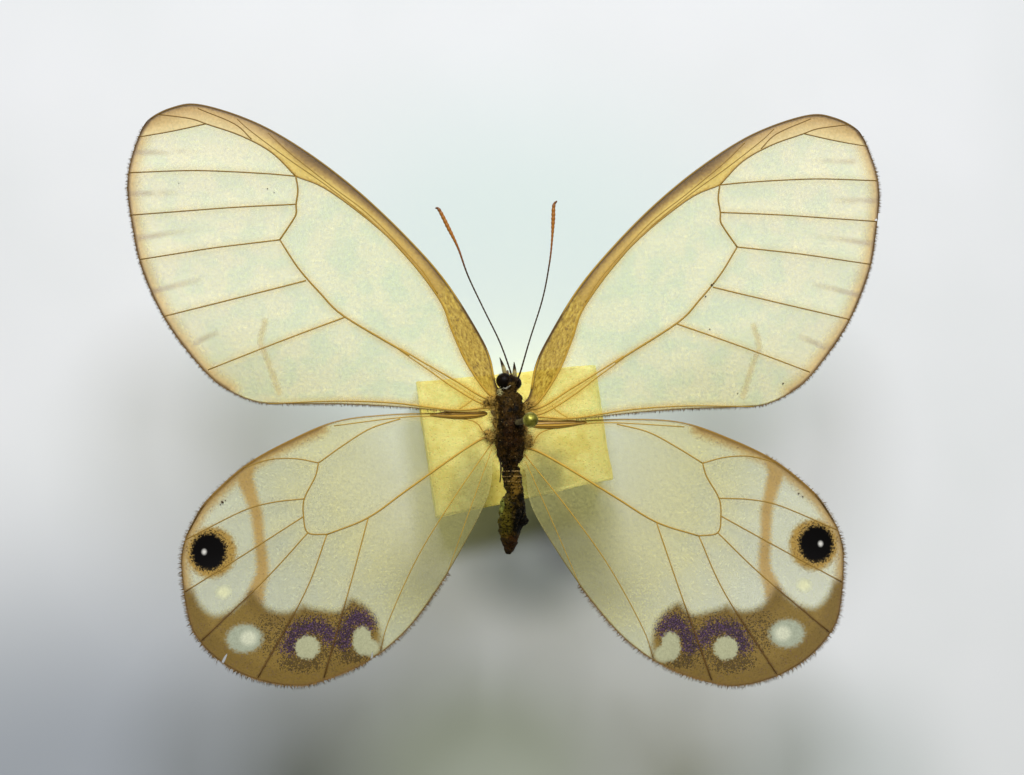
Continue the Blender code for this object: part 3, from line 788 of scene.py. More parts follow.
def make_forewing_finish():
    """The forewing: clear cells, a tan outer margin, a golden front band and its grainy pocket."""
    material, tree, shader = new_material("forewing_membrane")
    place = attribute(tree, "place", "Vector")
    outer, front, rear, vein, band, reach, fold, streak = distances(
        tree, "outer", "front", "rear", "vein", "band", "reach", "fold", "streak")
    slow = attribute(tree, "slow")
    grain = place_group(scale_grain, Place=place, Fineness=7.0)
    rough = noise_value(place, 4.0, 3.0, 0.8)
    wander = (rough - 0.5) * 0.5

    colour = paint(fade(slow, 0.3, 0.75), CLEAR, CLEAR_GREEN)
    colour = speckled(colour, rough, 0.45, 1.55)
    colour = paint(grain["Second"] * 0.22, colour, (196, 172, 112))
    halo = vein_halo(vein, between(fade(reach, 26.0, 6.0), 0.28, 0.7))
    colour = paint(halo, colour, GOLD)
    root = fade(reach, 6.0, 1.5) * fade(vein, 0.8, 0.0)
    colour = paint(root * 0.75, colour, GOLD)
    margin = fade(wander * 0.5 + outer, 2.0, 0.0) ** 1.7
    colour = paint(margin, colour, TAN)
    fold = fade(fold, 0.40, 0.0) * fade(outer, 6.5, 0.0) * fade(slow, 0.1, 0.5)
    colour = paint(fold * 0.8, colour, (164, 134, 84))
    streak = fade(streak + wander, 0.42, 0.06)
    streak = streak * fade(slow, 0.25, 0.5)
    colour = paint(streak * 0.55, colour, (192, 162, 98))

    share = band / (band + front)
    share = (rough - 0.5) * 0.55 + share
    band_colour = paint(fade(reach, 15.0, 23.0), ramp(share, ROOT_BAND_STOPS),
                        ramp(share, BAND_STOPS))
    band_colour = paint(fade(reach, 27.0, 32.0), band_colour, ramp(share, APEX_STOPS))
    band_mask = fade(band, 0.0, 0.07)
    colour = paint(band_mask, colour, band_colour)
    pocket = spot(place, rough, POCKET_CENTRE, (3.1, 5.2), 0.18, 0.3)
    pocket = pocket * band_mask
    along = in_oval(place, (0.0, 0.0), (2.4, 1.0), 64.0)
    streaks = noise_value(along, 5.0, 4.0, 0.8)
    colour = paint(pocket, colour, ramp(streaks, POCKET_STOPS))

    rim = fade(compute("MINIMUM", outer, rear * 1.4), 0.46, 0.18)
    rim = rim * fade(reach, 3.0, 14.0)
    colour = paint(rim * 0.9, colour, EDGE_BROWN)
    colour = paint(fade(front, 0.30, 0.10), colour, (86, 62, 30))
    colour = speckled(colour, grain["Grain"], 0.90, 1.08)
    colour = speckled(colour, rough, 0.85, 1.15)

    scaled = largest(margin * 0.72, band_mask * 0.92, rim, halo * 0.5, root * 0.5, streak * 0.35,
                     fold * 0.3)
    clear_alpha = between(rough, CLEAR_ALPHA - 0.14, CLEAR_ALPHA + 0.14)
    alpha = between(scaled, clear_alpha, SCALED_ALPHA)
    set_sockets(shader, Base_Color=colour, Roughness=0.5, Specular_IOR_Level=0.2,
                Alpha=without_tears(alpha, place, TEARS["right_forewing"]))
    return material


forewing_finish = make_forewing_finish()
print("made", forewing_finish.name)

# %% [markdown]
# The hindwing carries the marks that one knows the kind by: a black eyespot with a white pupil in a
# ring of loose golden scales, a tan band down the wing, and a brown field at the tail with cream,
# bluish and violet spots. Later marks are painted over earlier ones, as on paper. Where a mark is
# dusted, only some of the scales take its colour: those whose random tone is under a limit.

# %% Hindwing finish
HIND_CLEAR = (222, 217, 142)
HIND_GREY = (204, 208, 166)
HIND_INNER_SHADE = (134, 130, 82)
HIND_TAN = (184, 150, 78)
HIND_EDGE = (124, 94, 48)
FIELD_BROWN = (136, 110, 50)
FIELD_DARK = (44, 30, 12)
FIELD_TAN = (126, 101, 45)
FIELD_VEIN = (84, 60, 24)
VIOLET_STOPS = [(0.0, (32, 18, 28)), (0.5, (48, 25, 62)), (1.0, (72, 44, 98))]
CREAM = (178, 177, 142)
BLUISH = (169, 174, 152)
RING_GOLD = (172, 138, 66)
EYE_BLACK = (4, 2, 3)


def dusted(mask, tone, share):
    """The scales inside a mask whose random tone falls under a share of the mask."""
    return fade(mask * share - tone, -0.12, 0.12)


def make_hindwing_finish():
    """The hindwing: clear cells, tan band and margin, eyespot, the spotted brown field, and painted
    shade near the body.
    """
    material, tree, shader = new_material("hindwing_membrane")
    place = attribute(tree, "place", "Vector")
    outer, front, rear, vein, band, reach, field, purple = distances(
        tree, "outer", "front", "rear", "vein", "band", "reach", "field", "purple")
    slow = attribute(tree, "slow")
    grain = place_group(scale_grain, Place=place, Fineness=13.0)
    rough = noise_value(place, 4.5, 4.0, 0.75)
    wander = (rough - 0.5) * 0.9

    colour = paint(fade(slow * 6.0 + reach, 16.0, 27.0), HIND_CLEAR, HIND_GREY)
    colour = speckled(colour, rough, 0.62, 1.38)
    colour = paint(grain["Second"] * 0.22, colour, (180, 160, 106))
    halo = vein_halo(vein, between(fade(reach, 13.0, 5.0), 0.12, 0.5))
    halo = halo * fade(rear, 0.5, 5.0)
    colour = paint(halo, colour, GOLD)
    root = fade(reach, 4.5, 1.5) * fade(vein, 0.8, 0.0)
    colour = paint(root * 0.7, colour, GOLD)
    # The inner rear part lies over the shadow of the body and foam. It is painted darker as shade and
    # made a little more opaque.
    inner = fade(rear, 7.0, 1.0) * fade(reach, 4.0, 9.0)
    inner = inner * fade(reach, 21.0, 14.0)
    colour = paint(inner * 0.75, colour, HIND_INNER_SHADE)
    margin = fade(outer + wander, 1.25, 0.25)
    band = fade(band + wander, -0.30, 0.30)
    tan = largest(margin, band)
    colour = paint(tan, colour, HIND_TAN)
    field = fade(field + wander, -0.40, 0.45)
    brown = ramp(wander * 0.15 + outer / 5.0,
                 [(0.0, FIELD_TAN), (0.22, FIELD_TAN), (0.34, FIELD_BROWN), (0.85, FIELD_BROWN),
                  (1.0, FIELD_TAN)])
    colour = paint(field, colour, brown)
    field_vein = fade(vein, 0.20, 0.02) * field
    colour = paint(field_vein * 0.8, colour, FIELD_VEIN)

    first_dust = spot(place, rough, (16.1, -17.2), (2.3, 1.9), 0.45, 0.5)
    second_dust = spot(place, rough, (12.9, -16.8), (1.7, 2.2), 0.45, 0.5)
    third_dust = spot(place, rough, (19.3, -16.6), (1.5, 1.5), 0.5, 0.5)
    first_rim = spot(place, rough, (16.9, -18.85), (1.7, 0.75), 0.5, 0.6)
    second_rim = spot(place, rough, (12.9, -18.5), (1.3, 0.75), 0.5, 0.6)
    dust = largest(first_dust * 0.7, second_dust * 0.7, third_dust * 0.45, first_rim * 0.9,
                   second_rim * 0.8)
    dust = dusted(dust, grain["Grain"], 0.95) * field
    colour = paint(dust * 0.66, colour, FIELD_DARK)
    violet = dusted(fade(purple, 1.15, 0.0), grain["Second"], 0.90)
    colour = paint(violet * 0.85, colour, ramp(grain["Grain"], VIOLET_STOPS))

    oval = spot(place, rough, (21.38, -16.80), (1.38, 1.10), 0.2, 0.9)
    bright = spot(place, rough, (21.05, -16.79), (0.62, 0.55), 0.5, 0.3)
    colour = paint(oval, colour, BLUISH)
    colour = paint(bright, colour, (212, 213, 188))
    first_cream = spot(place, rough, (16.50, -17.75), (0.97, 0.91), 0.12, 1.1)
    second_cream = spot(place, rough, (12.15, -17.45), (0.76, 1.12), 0.14, 1.1)
    corner_cream = spot(place, rough, (11.55, -18.0), (0.74, 0.64), 0.3, 1.0)
    cream = largest(first_cream, second_cream, corner_cream)
    colour = paint(cream, colour, CREAM)
    pale = spot(place, rough, (22.9, -13.1), (0.50, 0.46), 0.6, 0.2)
    colour = paint(pale * 0.85, colour, (232, 230, 186))

    ring = spot(place, rough, (23.75, -9.92), (1.95, 2.02), 0.14, 0.5)
    colour = paint(ring, colour, RING_GOLD)
    near_black = spot(place, rough, (23.85, -9.9), (1.75, 1.9), 0.4, 0.4)
    ring_dust = dusted(near_black, grain["Grain"], 0.34) * ring
    colour = paint(ring_dust * 0.7, colour, (84, 58, 22))
    black = spot(place, grain["Grain"] * 0.35 + rough, (23.95, -9.86), (1.51, 1.66), 0.12, 0.5)
    colour = paint(black, colour, EYE_BLACK)
    pupil = spot(place, rough, (24.3, -9.86), (0.16, 0.19), 0.7, 0.5)
    colour = paint(pupil, colour, (206, 202, 196))

    edge = compute("MINIMUM", outer, rear * 1.3)
    rim = fade(edge, 0.46, 0.16) * fade(reach, 3.0, 14.0)
    colour = paint(rim * 0.75, colour, HIND_EDGE)
    colour = paint(fade(front, 0.24, 0.08), colour, (140, 104, 48))
    colour = speckled(colour, grain["Grain"], 0.88, 1.09)
    colour = speckled(colour, rough, 0.78, 1.24)

    scaled = largest(tan * 0.7, field, ring, rim, oval, cream, pale * 0.6, halo * 0.5, root * 0.5)
    clear_alpha = between(fade(reach, 5.0, 17.0), ROOT_CLEAR_ALPHA, HIND_CLEAR_ALPHA)
    clear_alpha = inner * 0.16 + clear_alpha
    clear_alpha = clear_alpha * between(rough, 0.70, 1.30)
    alpha = between(scaled, clear_alpha, SCALED_ALPHA)
    alpha = largest(alpha, black)
    set_sockets(shader, Base_Color=colour, Roughness=0.55, Specular_IOR_Level=0.08,
                Alpha=without_tears(alpha, place, TEARS["left_hindwing"]))
    return material


hindwing_finish = make_hindwing_finish()
print("made", hindwing_finish.name)

# %% [markdown]
# ## The membranes
# Each membrane starts as a flat grid. Its points move to the wing's plan, it sags a little between
# the veins, and a Solidify modifier gives it a real thickness of a few hundredths of a millimetre.

# %% Make the four membranes
MEMBRANE_THICKNESS = 0.03
SAG = 0.09
POCKET_SWELL = 0.12
SEEDS = {"left_forewing": 3.0, "right_forewing": 13.0, "left_hindwing": 23.0, "right_hindwing": 33.0}


def apply_matrix(mesh, matrix):
    """Moves a mesh and turns its faces outward again, as a mirrored one needs."""
    shape = opened(mesh)
    bmesh.ops.transform(shape, matrix=matrix, verts=shape.verts)
    bmesh.ops.recalc_face_normals(shape, faces=shape.faces)
    return written(shape, mesh)


def make_membrane(side, kind, fields_of, material):
    """One membrane, from a flat grid to its place on the body."""
    name = side + "_" + kind
    places = wing_grid(kind)
    fields = fields_of(places, SEEDS[name])
    support = np.minimum(fields["vein_mm"], fields["front_mm"])
    heights = wing_height(places) - SAG * (1 - np.exp(-(support / 0.8) ** 2))
    if kind == "forewing":
        pocket = np.clip(1 - lengths((places - POCKET_CENTRE) / POCKET_HALF), 0.0, 1.0)
        heights += POCKET_SWELL * pocket * np.clip(fields["band_mm"] / 0.5, 0.0, 1.0)
    shape = bmesh.new()
    bmesh.ops.create_grid(shape, x_segments=GRID_ACROSS - 1, y_segments=GRID_ALONG - 1, size=0.5)
    shape.verts.sort(key=lambda vertex: vertex.co.y * 1000 + vertex.co.x)
    for vertex, place, height in zip(shape.verts, places, heights):
        vertex.co = (*place, height)
    mesh = apply_matrix(written(shape, name), wing_matrix(side, kind))
    fields["torn"] = np.full(len(places), 1.0 if name in TEARS else 0.0)
    for field, values in fields.items():
        write_attribute(mesh, field, values)
    plan = mesh.attributes.new("place", "FLOAT_VECTOR", "POINT")
    plan.data.foreach_set("vector", np.column_stack([places, np.zeros(len(places))]).ravel())
    wing = finish_piece(name, mesh, material, [name])
    solidify = wing.modifiers.new("thickness", "SOLIDIFY")
    solidify.thickness = MEMBRANE_THICKNESS * MM
    solidify.offset = 0.0
    print(name, "membrane:", len(mesh.polygons), "faces")


for side in ("left", "right"):
    make_membrane(side, "forewing", forewing_fields, forewing_finish)
    make_membrane(side, "hindwing", hindwing_fields, hindwing_finish)

# %% [markdown]
# ## Veins
# Veins are hollow struts that stand proud of both faces. Each is a tapered tube along a smooth
# curve, at the height of the membrane. They are golden near the body and browner further out. The
# thickened front edge is one more vein, and it follows the outline itself.

# %% Vein finish and veins
EDGE_VEIN_INSET = 0.07
MARGIN_REACH = 0.5
VEIN_TRIM = 0.16
VEIN_FINENESS = 0.86
EDGE_RADII = {"forewing": (0.10, 0.06), "hindwing": (0.05, 0.035)}


def make_vein_finish():
    """Golden at the root, brown towards the margin, and darker in brown parts of the wing."""
    material, tree, shader = new_material("vein")
    grain = place_group(scale_grain, Place=object_place(tree), Fineness=12.0)
    colour = ramp(attribute(tree, "reach_mm") / 32.0,
                  [(0.0, (144, 108, 34)), (0.12, (200, 160, 56)), (0.4, (176, 140, 52)),
                   (0.75, (152, 120, 50)), (1.0, (122, 94, 42))])
    colour = paint(grain["Grain"] * 0.35, colour, (124, 90, 34))
    colour = paint(attribute(tree, "in_brown"), colour, (92, 64, 26))
    set_sockets(shader, Base_Color=colour, Roughness=0.5, Specular_IOR_Level=0.25)
    return material


vein_finish = make_vein_finish()


def trimmed(path, outer):
    """A vein that reaches the margin stops a little short of it, inside the fringe."""
    end = np.array([tuple(path[-1])[:2]])
    if distance_to_paths(end, [outer])[0][0] < MARGIN_REACH:
        path[-1] = path[-1] - (path[-1] - path[-2]).normalized() * VEIN_TRIM
    return path


def vein_stations(path, start_radius, end_radius):
    """Stations along a vein, at the height of the membrane, with an even taper."""
    heights = wing_height(np.array([tuple(point)[:2] for point in path]))
    radii = VEIN_FINENESS * np.linspace(start_radius, end_radius, len(path))
    return [(*point[:2], height, radius) for point, height, radius in zip(path, heights, radii)]


def make_veins(side, kind):
    """All the veins of one wing as one piece."""
    front, outer, _, _ = outline_sides(kind)
    runs = [vein_stations(trimmed(smooth_path(points, 6), outer), start_radius, end_radius)
            for points, start_radius, end_radius in VEINS[kind].values()]
    edge_path = pull_in(resample(front, 90), EDGE_VEIN_INSET)[4:-1]
    runs.append(vein_stations(edge_path, *EDGE_RADII[kind]))
    name = side + "_" + kind + "_veins"
    mesh = tube_mesh(name, runs, 2)
    places = point_places(mesh)[:, :2]
    write_attribute(mesh, "reach_mm", lengths(places))
    in_brown = np.zeros(len(places))
    if kind == "hindwing":
        field = signed_distance(places, smooth_path(HIND_FIELD_EDGE, 4), 1)
        in_brown = np.clip(field / 0.6 + 0.5, 0.0, 1.0)
    write_attribute(mesh, "in_brown", in_brown)
    apply_matrix(mesh, wing_matrix(side, kind))
    finish_piece(name, mesh, vein_finish)
    print(name, len(mesh.polygons), "faces")


for side in ("left", "right"):
    for kind in VEINS:
        make_veins(side, kind)

# %% [markdown]
# ## The swollen base of the hindwing
# Where the hindwing's front veins leave the body they run together in a golden, spindle-shaped
# swelling with fine lengthwise ridges. A sphere drawn out to a spindle gives its form, and a wave
# across it gives the ridges.

# %% Base bulbs
BULB_CENTRE = (3.9, 0.30)
BULB_HALF = (2.35, 0.40, 0.24)


def make_bulb_finish():
    """Golden brown with dark lengthwise lines."""
    material, tree, shader = new_material("hindwing_base")
    across = attribute(tree, "across")
    rough = noise_value(object_place(tree), 3.0, 4.0, 0.7)
    line = compute("SINE", rough * 2.5 + across * 11.0)
    colour = paint(fade(line, 0.1, 0.95), (190, 148, 56), (110, 78, 26))
    rim = fade(compute("ABSOLUTE", across), 0.78, 0.98)
    colour = paint(rim, colour, (104, 74, 28))
    set_sockets(shader, Base_Color=colour, Roughness=0.45, Specular_IOR_Level=0.3,
                Normal=bump(line, 0.02, 0.5))
    return material


bulb_finish = make_bulb_finish()
for side in ("left", "right"):
    shape = bmesh.new()
    bmesh.ops.create_uvsphere(shape, u_segments=48, v_segments=32, radius=1.0,
                              matrix=Matrix.Rotation(math.pi / 2, 4, "Y"))
    across = [vertex.co.y / max(math.hypot(vertex.co.y, vertex.co.z), 1e-6) for vertex in shape.verts]
    for vertex in shape.verts:
        share = vertex.co.x
        swell = (1 - 0.45 * share) if share > 0 else (1 - 0.1 * share)
        vertex.co = (BULB_CENTRE[0] + share * BULB_HALF[0],
                     BULB_CENTRE[1] + vertex.co.y * BULB_HALF[1] * swell,
                     vertex.co.z * BULB_HALF[2] * swell)
    mesh = apply_matrix(written(shape, side + "_hindwing_base"), wing_matrix(side, "hindwing"))
    write_attribute(mesh, "across", across)
    finish_piece(side + "_hindwing_base", mesh, bulb_finish)
print("two base bulbs")

# %% [markdown]
# ## Hairs and fringe
# Hairs and the scales of the fringe are far too many for curves with caps. Each is a three-sided
# spike, which is as round as the eye can tell at this size, and hundreds are joined in one mesh. A
# number stored on each spike lets the material vary from hair to hair.

# %% Spikes and their finish
def make_spikes(name, spikes, material):
    """Many thin spikes, each given as (root, direction, length, radius) in millimetres."""
    shape = bmesh.new()
    tone = shape.verts.layers.float.new("tone")
    for root, direction, length, radius in spikes:
        turn = Vector(direction).to_track_quat("Z", "Y").to_matrix().to_4x4()
        place = (Matrix.Translation(Vector(root) * MM) @ turn
                 @ Matrix.Translation((0, 0, length / 2 * MM)))
        made = bmesh.ops.create_cone(shape, cap_ends=True, segments=3, radius1=radius * MM,
                                     radius2=0.0, depth=length * MM, matrix=place)
        value = random.random()
        for vertex in made["verts"]:
            vertex[tone] = value
    mesh = written(shape, name)
    finish_piece(name, mesh, material)
    print(name, len(spikes), "spikes,", len(mesh.polygons), "faces")


def make_hair_finish(name, dark, light):
    """Hair that varies from dark to light."""
    material, tree, shader = new_material(name)
    colour = ramp(attribute(tree, "tone"), [(0.0, dark), (0.75, light), (1.0, light)])
    set_sockets(shader, Base_Color=colour, Roughness=0.55, Specular_IOR_Level=0.25)
    return material


fringe_finish = make_hair_finish("fringe_scales", (82, 60, 28), (136, 106, 56))
FRINGE_SPACING = 0.04
FRINGE_START = 5.0
TORN_REACH = 0.45


def make_fringe(side, kind, margin_start, longest):
    """Short scales along the outer and rear margins of one wing, in small clumps."""
    front, outer, rear, _ = outline_sides(kind)
    margin = [point for point in front if point.x > margin_start] + outer[1:] + rear[::-1][1:]
    margin_mm = sum((end - start).length for start, end in zip(margin, margin[1:]))
    rim = resample(margin, int(margin_mm / FRINGE_SPACING))
    heights = wing_height(rim)
    matrix = wing_matrix(side, kind)
    turn = matrix.to_3x3()
    tears = [np.array(centre) for centre, _, _ in TEARS.get(side + "_" + kind, [])]
    spikes = []
    for index in range(1, len(rim) - 1):
        run = rim[index + 1] - rim[index - 1]
        outward = Vector((-run[1], run[0], 0.0)).normalized()
        torn = any(np.linalg.norm(rim[index] - centre) < 0.5 for centre in tears)
        if rim[index][0] < FRINGE_START:
            continue
        clump = noise.noise((index * 0.23, 0.0, 3.0))
        share = TORN_REACH if torn else 1.0
        reach = longest * share * (0.62 + 0.55 * clump) * random.uniform(0.8, 1.15)
        start = Vector((*rim[index], heights[index])) - outward * FRINGE_REACH * 1.3
        lean = Vector((run[0], run[1], 0.0)).normalized() * (clump * 1.2 + random.uniform(-0.2, 0.2))
        direction = outward + lean + Vector((0, 0, random.uniform(-0.25, 0.25)))
        spikes.append((matrix @ start / MM, turn @ direction, reach, random.uniform(0.022, 0.036)))
    make_spikes(side + "_" + kind + "_fringe", spikes, fringe_finish)


for side in ("left", "right"):
    make_fringe(side, "forewing", 30.0, 0.38)
    make_fringe(side, "hindwing", 20.0, 0.56)

# %% [markdown]
# ## Dust
# Years in a collection leave a few dark specks on the wings. Each is a small lump that lies on the
# membrane.

# %% Specks on the wings
SPECKS = {
    "left_hindwing": [(22.79, -6.01, 0.10), (22.55, -5.9, 0.05), (22.95, -6.2, 0.05)],
    "right_hindwing": [(22.73, -5.86, 0.07), (23.05, -6.11, 0.06)],
    "right_forewing": [(16.08, 11.16, 0.10), (15.58, 10.25, 0.07), (15.84, 7.61, 0.06),
                       (21.6, 3.19, 0.07), (17.94, 2.45, 0.05), (16.25, 11.3, 0.06)],
    "left_forewing": [(19.1, 18.2, 0.05), (18.6, 17.9, 0.04), (25.9, 18.6, 0.04)],
}
speck_finish, speck_tree, speck_shader = new_material("dark_specks")
speck_tone = paint(noise_value(object_place(speck_tree), 6.0), (34, 22, 12), (84, 60, 34))
set_sockets(speck_shader, Roughness=0.7, Base_Color=speck_tone)
for name, specks in SPECKS.items():
    shape = bmesh.new()
    for x, y, radius in specks:
        lump = bmesh.ops.create_icosphere(shape, subdivisions=2, radius=radius)
        height = wing_height(np.array([(x, y)]))[0]
        for vertex in lump["verts"]:
            vertex.co *= 1 + 0.5 * noise.noise(vertex.co * 9 + Vector((x, y, 0)))
            vertex.co += Vector((x, y, height + radius * 0.4))
    mesh = apply_matrix(written(shape, name + "_specks"), wing_matrix(*name.split("_")))
    finish_piece(name + "_specks", mesh, speck_finish)
print("specks:", sum(len(specks) for specks in SPECKS.values()))

# %% [markdown]
# ## The body
# A dried body is wrinkled and crusty. The frame has its form in coarse faces, so a copy of it is
# remeshed into small even cells, and every point is then moved in or out by a noise pattern.

# %% Body shapes
def rough_copy(node, cell_mm, lumps, wrinkle_mm, wrinkle_scale, crumb_mm):
    """A fine, wrinkled copy of a node, with lumps given as (centre, half sizes) grown into it."""
    shape = opened(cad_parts[node].data)
    bmesh.ops.remove_doubles(shape, verts=shape.verts, dist=WELD_MM * MM)
    bmesh.ops.scale(shape, verts=shape.verts, vec=(1 / MM,) * 3)
    for centre, half_sizes in lumps:
        ball = bmesh.ops.create_icosphere(shape, subdivisions=3, radius=1.0)
        bmesh.ops.scale(shape, verts=ball["verts"], vec=half_sizes)
        bmesh.ops.translate(shape, verts=ball["verts"], vec=centre)
    cells = ("REMESH", {"mode": "VOXEL", "voxel_size": cell_mm})
    mesh = evaluated_mesh(node, written(shape, node + "_coarse"), [cells])
    shape = opened(mesh)
    for _ in range(3):
        bmesh.ops.smooth_vert(shape, verts=shape.verts, factor=0.5, use_axis_x=True,
                              use_axis_y=True, use_axis_z=True)
    shape.normal_update()
    for vertex in shape.verts:
        wrinkle = noise.fractal(vertex.co * wrinkle_scale, 0.8, 2.0, 4)
        crumb = noise.noise(vertex.co * 9.0)
        vertex.co += vertex.normal * (wrinkle_mm * wrinkle + crumb_mm * crumb)
    bmesh.ops.scale(shape, verts=shape.verts, vec=(MM,) * 3)
    return written(shape, mesh)


THORAX_LUMPS = [
    ((-1.95, 1.75, 25.05), (0.50, 0.42, 0.32)), ((-2.35, 1.55, 25.0), (0.34, 0.30, 0.22)),
    ((-1.9, -1.1, 24.75), (0.48, 0.40, 0.34)), ((-2.2, -0.75, 24.7), (0.28, 0.30, 0.22)),
    ((1.0, 1.35, 24.95), (0.50, 0.40, 0.32)), ((1.35, 1.2, 24.95), (0.30, 0.28, 0.22)),
    ((0.9, -1.35, 24.65), (0.42, 0.42, 0.34)), ((1.15, -1.7, 24.6), (0.26, 0.28, 0.22)),
    ((-1.25, 2.15, 25.5), (0.42, 0.38, 0.34)), ((0.1, 2.0, 25.5), (0.42, 0.40, 0.34)),
    ((-0.55, -2.6, 25.55), (0.62, 0.40, 0.30)), ((-0.95, 0.3, 26.1), (0.42, 0.95, 0.28)),
    ((-0.42, 2.72, 25.0), (0.60, 0.45, 0.66)), ((-0.48, -3.35, 24.85), (0.66, 0.45, 0.62)),
    ((0.10, -0.1, 26.2), (0.40, 0.60, 0.20)), ((-0.5, -1.6, 26.1), (0.45, 0.40, 0.22)),
    ((-1.35, 2.45, 25.3), (0.30, 0.32, 0.40)),
]
ABDOMEN_LUMPS = [
    ((0.40, -7.55, 23.95), (0.56, 0.62, 0.48)), ((0.62, -7.80, 23.8), (0.50, 0.40, 0.42)),
    ((0.30, -5.95, 24.3), (0.36, 0.22, 0.26)), ((-0.95, -7.2, 23.9), (0.35, 0.9, 0.5)),
]
thorax_mesh = rough_copy("thorax", 0.065, THORAX_LUMPS, 0.13, 1.5, 0.05)
abdomen_mesh = rough_copy("abdomen", 0.055, ABDOMEN_LUMPS, 0.12, 1.7, 0.04)
head_mesh = rough_copy("head", 0.05, (), 0.03, 2.5, 0.015)
print("body meshes:", len(thorax_mesh.polygons), len(abdomen_mesh.polygons), len(head_mesh.polygons),
      "faces")

# %% [markdown]
# The thorax is dark brown with olive in front and a reddish cast behind, and a cream patch beside
# the collar. The abdomen is olive on its left, almost black on its right, and pale lines run
# across it where its rings meet. These are places on the body, so the materials mask them with
# the same oval marks, in millimetres of the frame.

# %% Body finishes
def make_body_finish(name, dark, light, patches, painted_glint_strength, stripe=None):
    """A mottled body colour with patches given as (colour, centre, half size, strength), and small
    painted glints of light.
    """
    material, tree, shader = new_material(name)
    place = object_place(tree)
    blotches = place_group(mottle, Place=place, Size=0.45)
    grains = place_group(scale_grain, Place=place, Fineness=9.0)
    rough = noise_value(place, 2.5, 4.0, 0.7)
    colour = paint(blotches["Blotch"], dark, light)
    for patch_colour, centre, half_size, strength in patches:
        mask = place_group(oval_mark, Place=place, Centre=centre, Half_Size=half_size,
                           Blur=0.35, Noise=rough, Ragged=1.6)["Mask"]
        colour = paint(mask * strength, colour, patch_colour)
    if stripe:
        stripe_colour, spacing, first_y, last_y = stripe
        along = result_of(tree, "ShaderNodeSeparateXYZ", {0: place}, "Y")
        wobble = rough * 0.3 + along
        wave = compute("SINE", wobble * (2 * math.pi / spacing))
        line = fade(wave, 0.80, 0.98) * fade(along, last_y, first_y)
        colour = paint(line * 0.75, colour, stripe_colour)
    colour = paint(fade(grains["Second"], 0.62, 0.98), colour, dark)
    # Small pale specks are painted on as glints of light on the crusty scales.
    glint_noise = noise_value(place, 4.0, 5.0, 0.85)
    painted_glint = fade(glint_noise, 0.60, 0.70) * painted_glint_strength
    colour = paint(painted_glint, colour, (176, 148, 92))
    relief = grains["Height"] * 0.5 + blotches["Height"]
    set_sockets(shader, Base_Color=colour, Roughness=0.55, Specular_IOR_Level=0.06,
                Normal=bump(relief, 0.05, 0.9))
    return material


thorax_finish = make_body_finish("thorax_crust", (8, 5, 1), (62, 42, 12), [
    ((60, 43, 12), (-0.45, 2.2, 26.0), (1.0, 0.8, 1.2), 0.85),
    ((150, 142, 96), (-1.32, 2.4, 25.6), (0.24, 0.30, 0.6), 0.9),
    ((50, 28, 10), (-0.3, -0.9, 26.2), (0.8, 1.3, 1.0), 0.6),
    ((6, 4, 2), (0.15, 0.0, 26.2), (0.40, 0.60, 0.8), 0.9),
    ((172, 138, 64), (-2.1, 0.5, 25.0), (0.75, 2.5, 1.0), 0.95),
    ((172, 138, 64), (1.2, 0.0, 25.0), (0.7, 2.5, 1.0), 0.95),
], 0.95)
abdomen_finish = make_body_finish("abdomen_crust", (9, 6, 1), (66, 50, 12), [
    ((84, 74, 18), (-1.05, -7.6, 24.2), (0.75, 2.4, 1.6), 0.95),
    ((128, 134, 60), (-1.15, -6.4, 24.4), (0.22, 0.9, 1.2), 0.7),
    ((3, 3, 3), (0.48, -7.8, 24.2), (0.78, 1.3, 1.6), 0.98),
    ((70, 38, 14), (-0.4, -9.6, 23.0), (0.9, 0.9, 1.6), 0.55),
    ((112, 84, 26), (-0.05, -5.0, 25.0), (0.45, 1.0, 0.9), 0.75),
    ((8, 5, 3), (0.35, -5.9, 24.6), (0.42, 0.35, 0.9), 0.95),
], 0.5, ((170, 138, 84), 0.42, -4.0, -5.6))
head_finish = make_body_finish("head_scales", (10, 6, 3), (46, 30, 12), [
    ((96, 76, 36), (-0.25, 2.85, 25.8), (0.5, 0.35, 0.5), 0.7),
], 0.4)
finish_piece("thorax", thorax_mesh, thorax_finish, ["thorax"])
finish_piece("abdomen", abdomen_mesh, abdomen_finish, ["abdomen"])
finish_piece("head", head_mesh, head_finish, ["head"])
print("body finishes on thorax, abdomen and head")

# %% [markdown]
# ## The eyes
# A butterfly's eye is a dome of hundreds of tiny lenses. A smooth dome with a fine honeycomb in its
# normal gives the glossy black of the dried eye, and a rim of white scales sits behind the left one.

# %% Eyes and their white rims
EYES = {"left": ((-0.96, 3.32, 25.4), 0.64), "right": ((-0.12, 3.14, 25.0), 0.58)}


def make_eye_finish():
    """Glossy black with a honeycomb of lenses."""
    material, tree, shader = new_material("eye")
    lenses = {"Vector": object_place(tree), "Scale": 17.0}
    depth = result_of(tree, "ShaderNodeTexVoronoi", lenses, "Distance")
    tint = paint(fade(depth, 0.2, 0.7), (5, 3, 2), (16, 10, 6))
    set_sockets(shader, Base_Color=tint, Roughness=0.42, Specular_IOR_Level=0.07,
                Normal=bump(1.0 - depth, 0.012, 0.5))
    return material


eye_finish = make_eye_finish()
white_scale_finish = make_hair_finish("white_scales", (140, 134, 112), (226, 222, 208))
for side, (centre, radius) in EYES.items():
    shape = bmesh.new()
    bmesh.ops.create_icosphere(shape, subdivisions=5, radius=radius * MM)
    bmesh.ops.scale(shape, verts=shape.verts, vec=(1.0, 0.96, 1.03))
    bmesh.ops.translate(shape, verts=shape.verts, vec=Vector(centre) * MM)
    finish_piece(side + "_eye", written(shape, side + "_eye"), eye_finish)

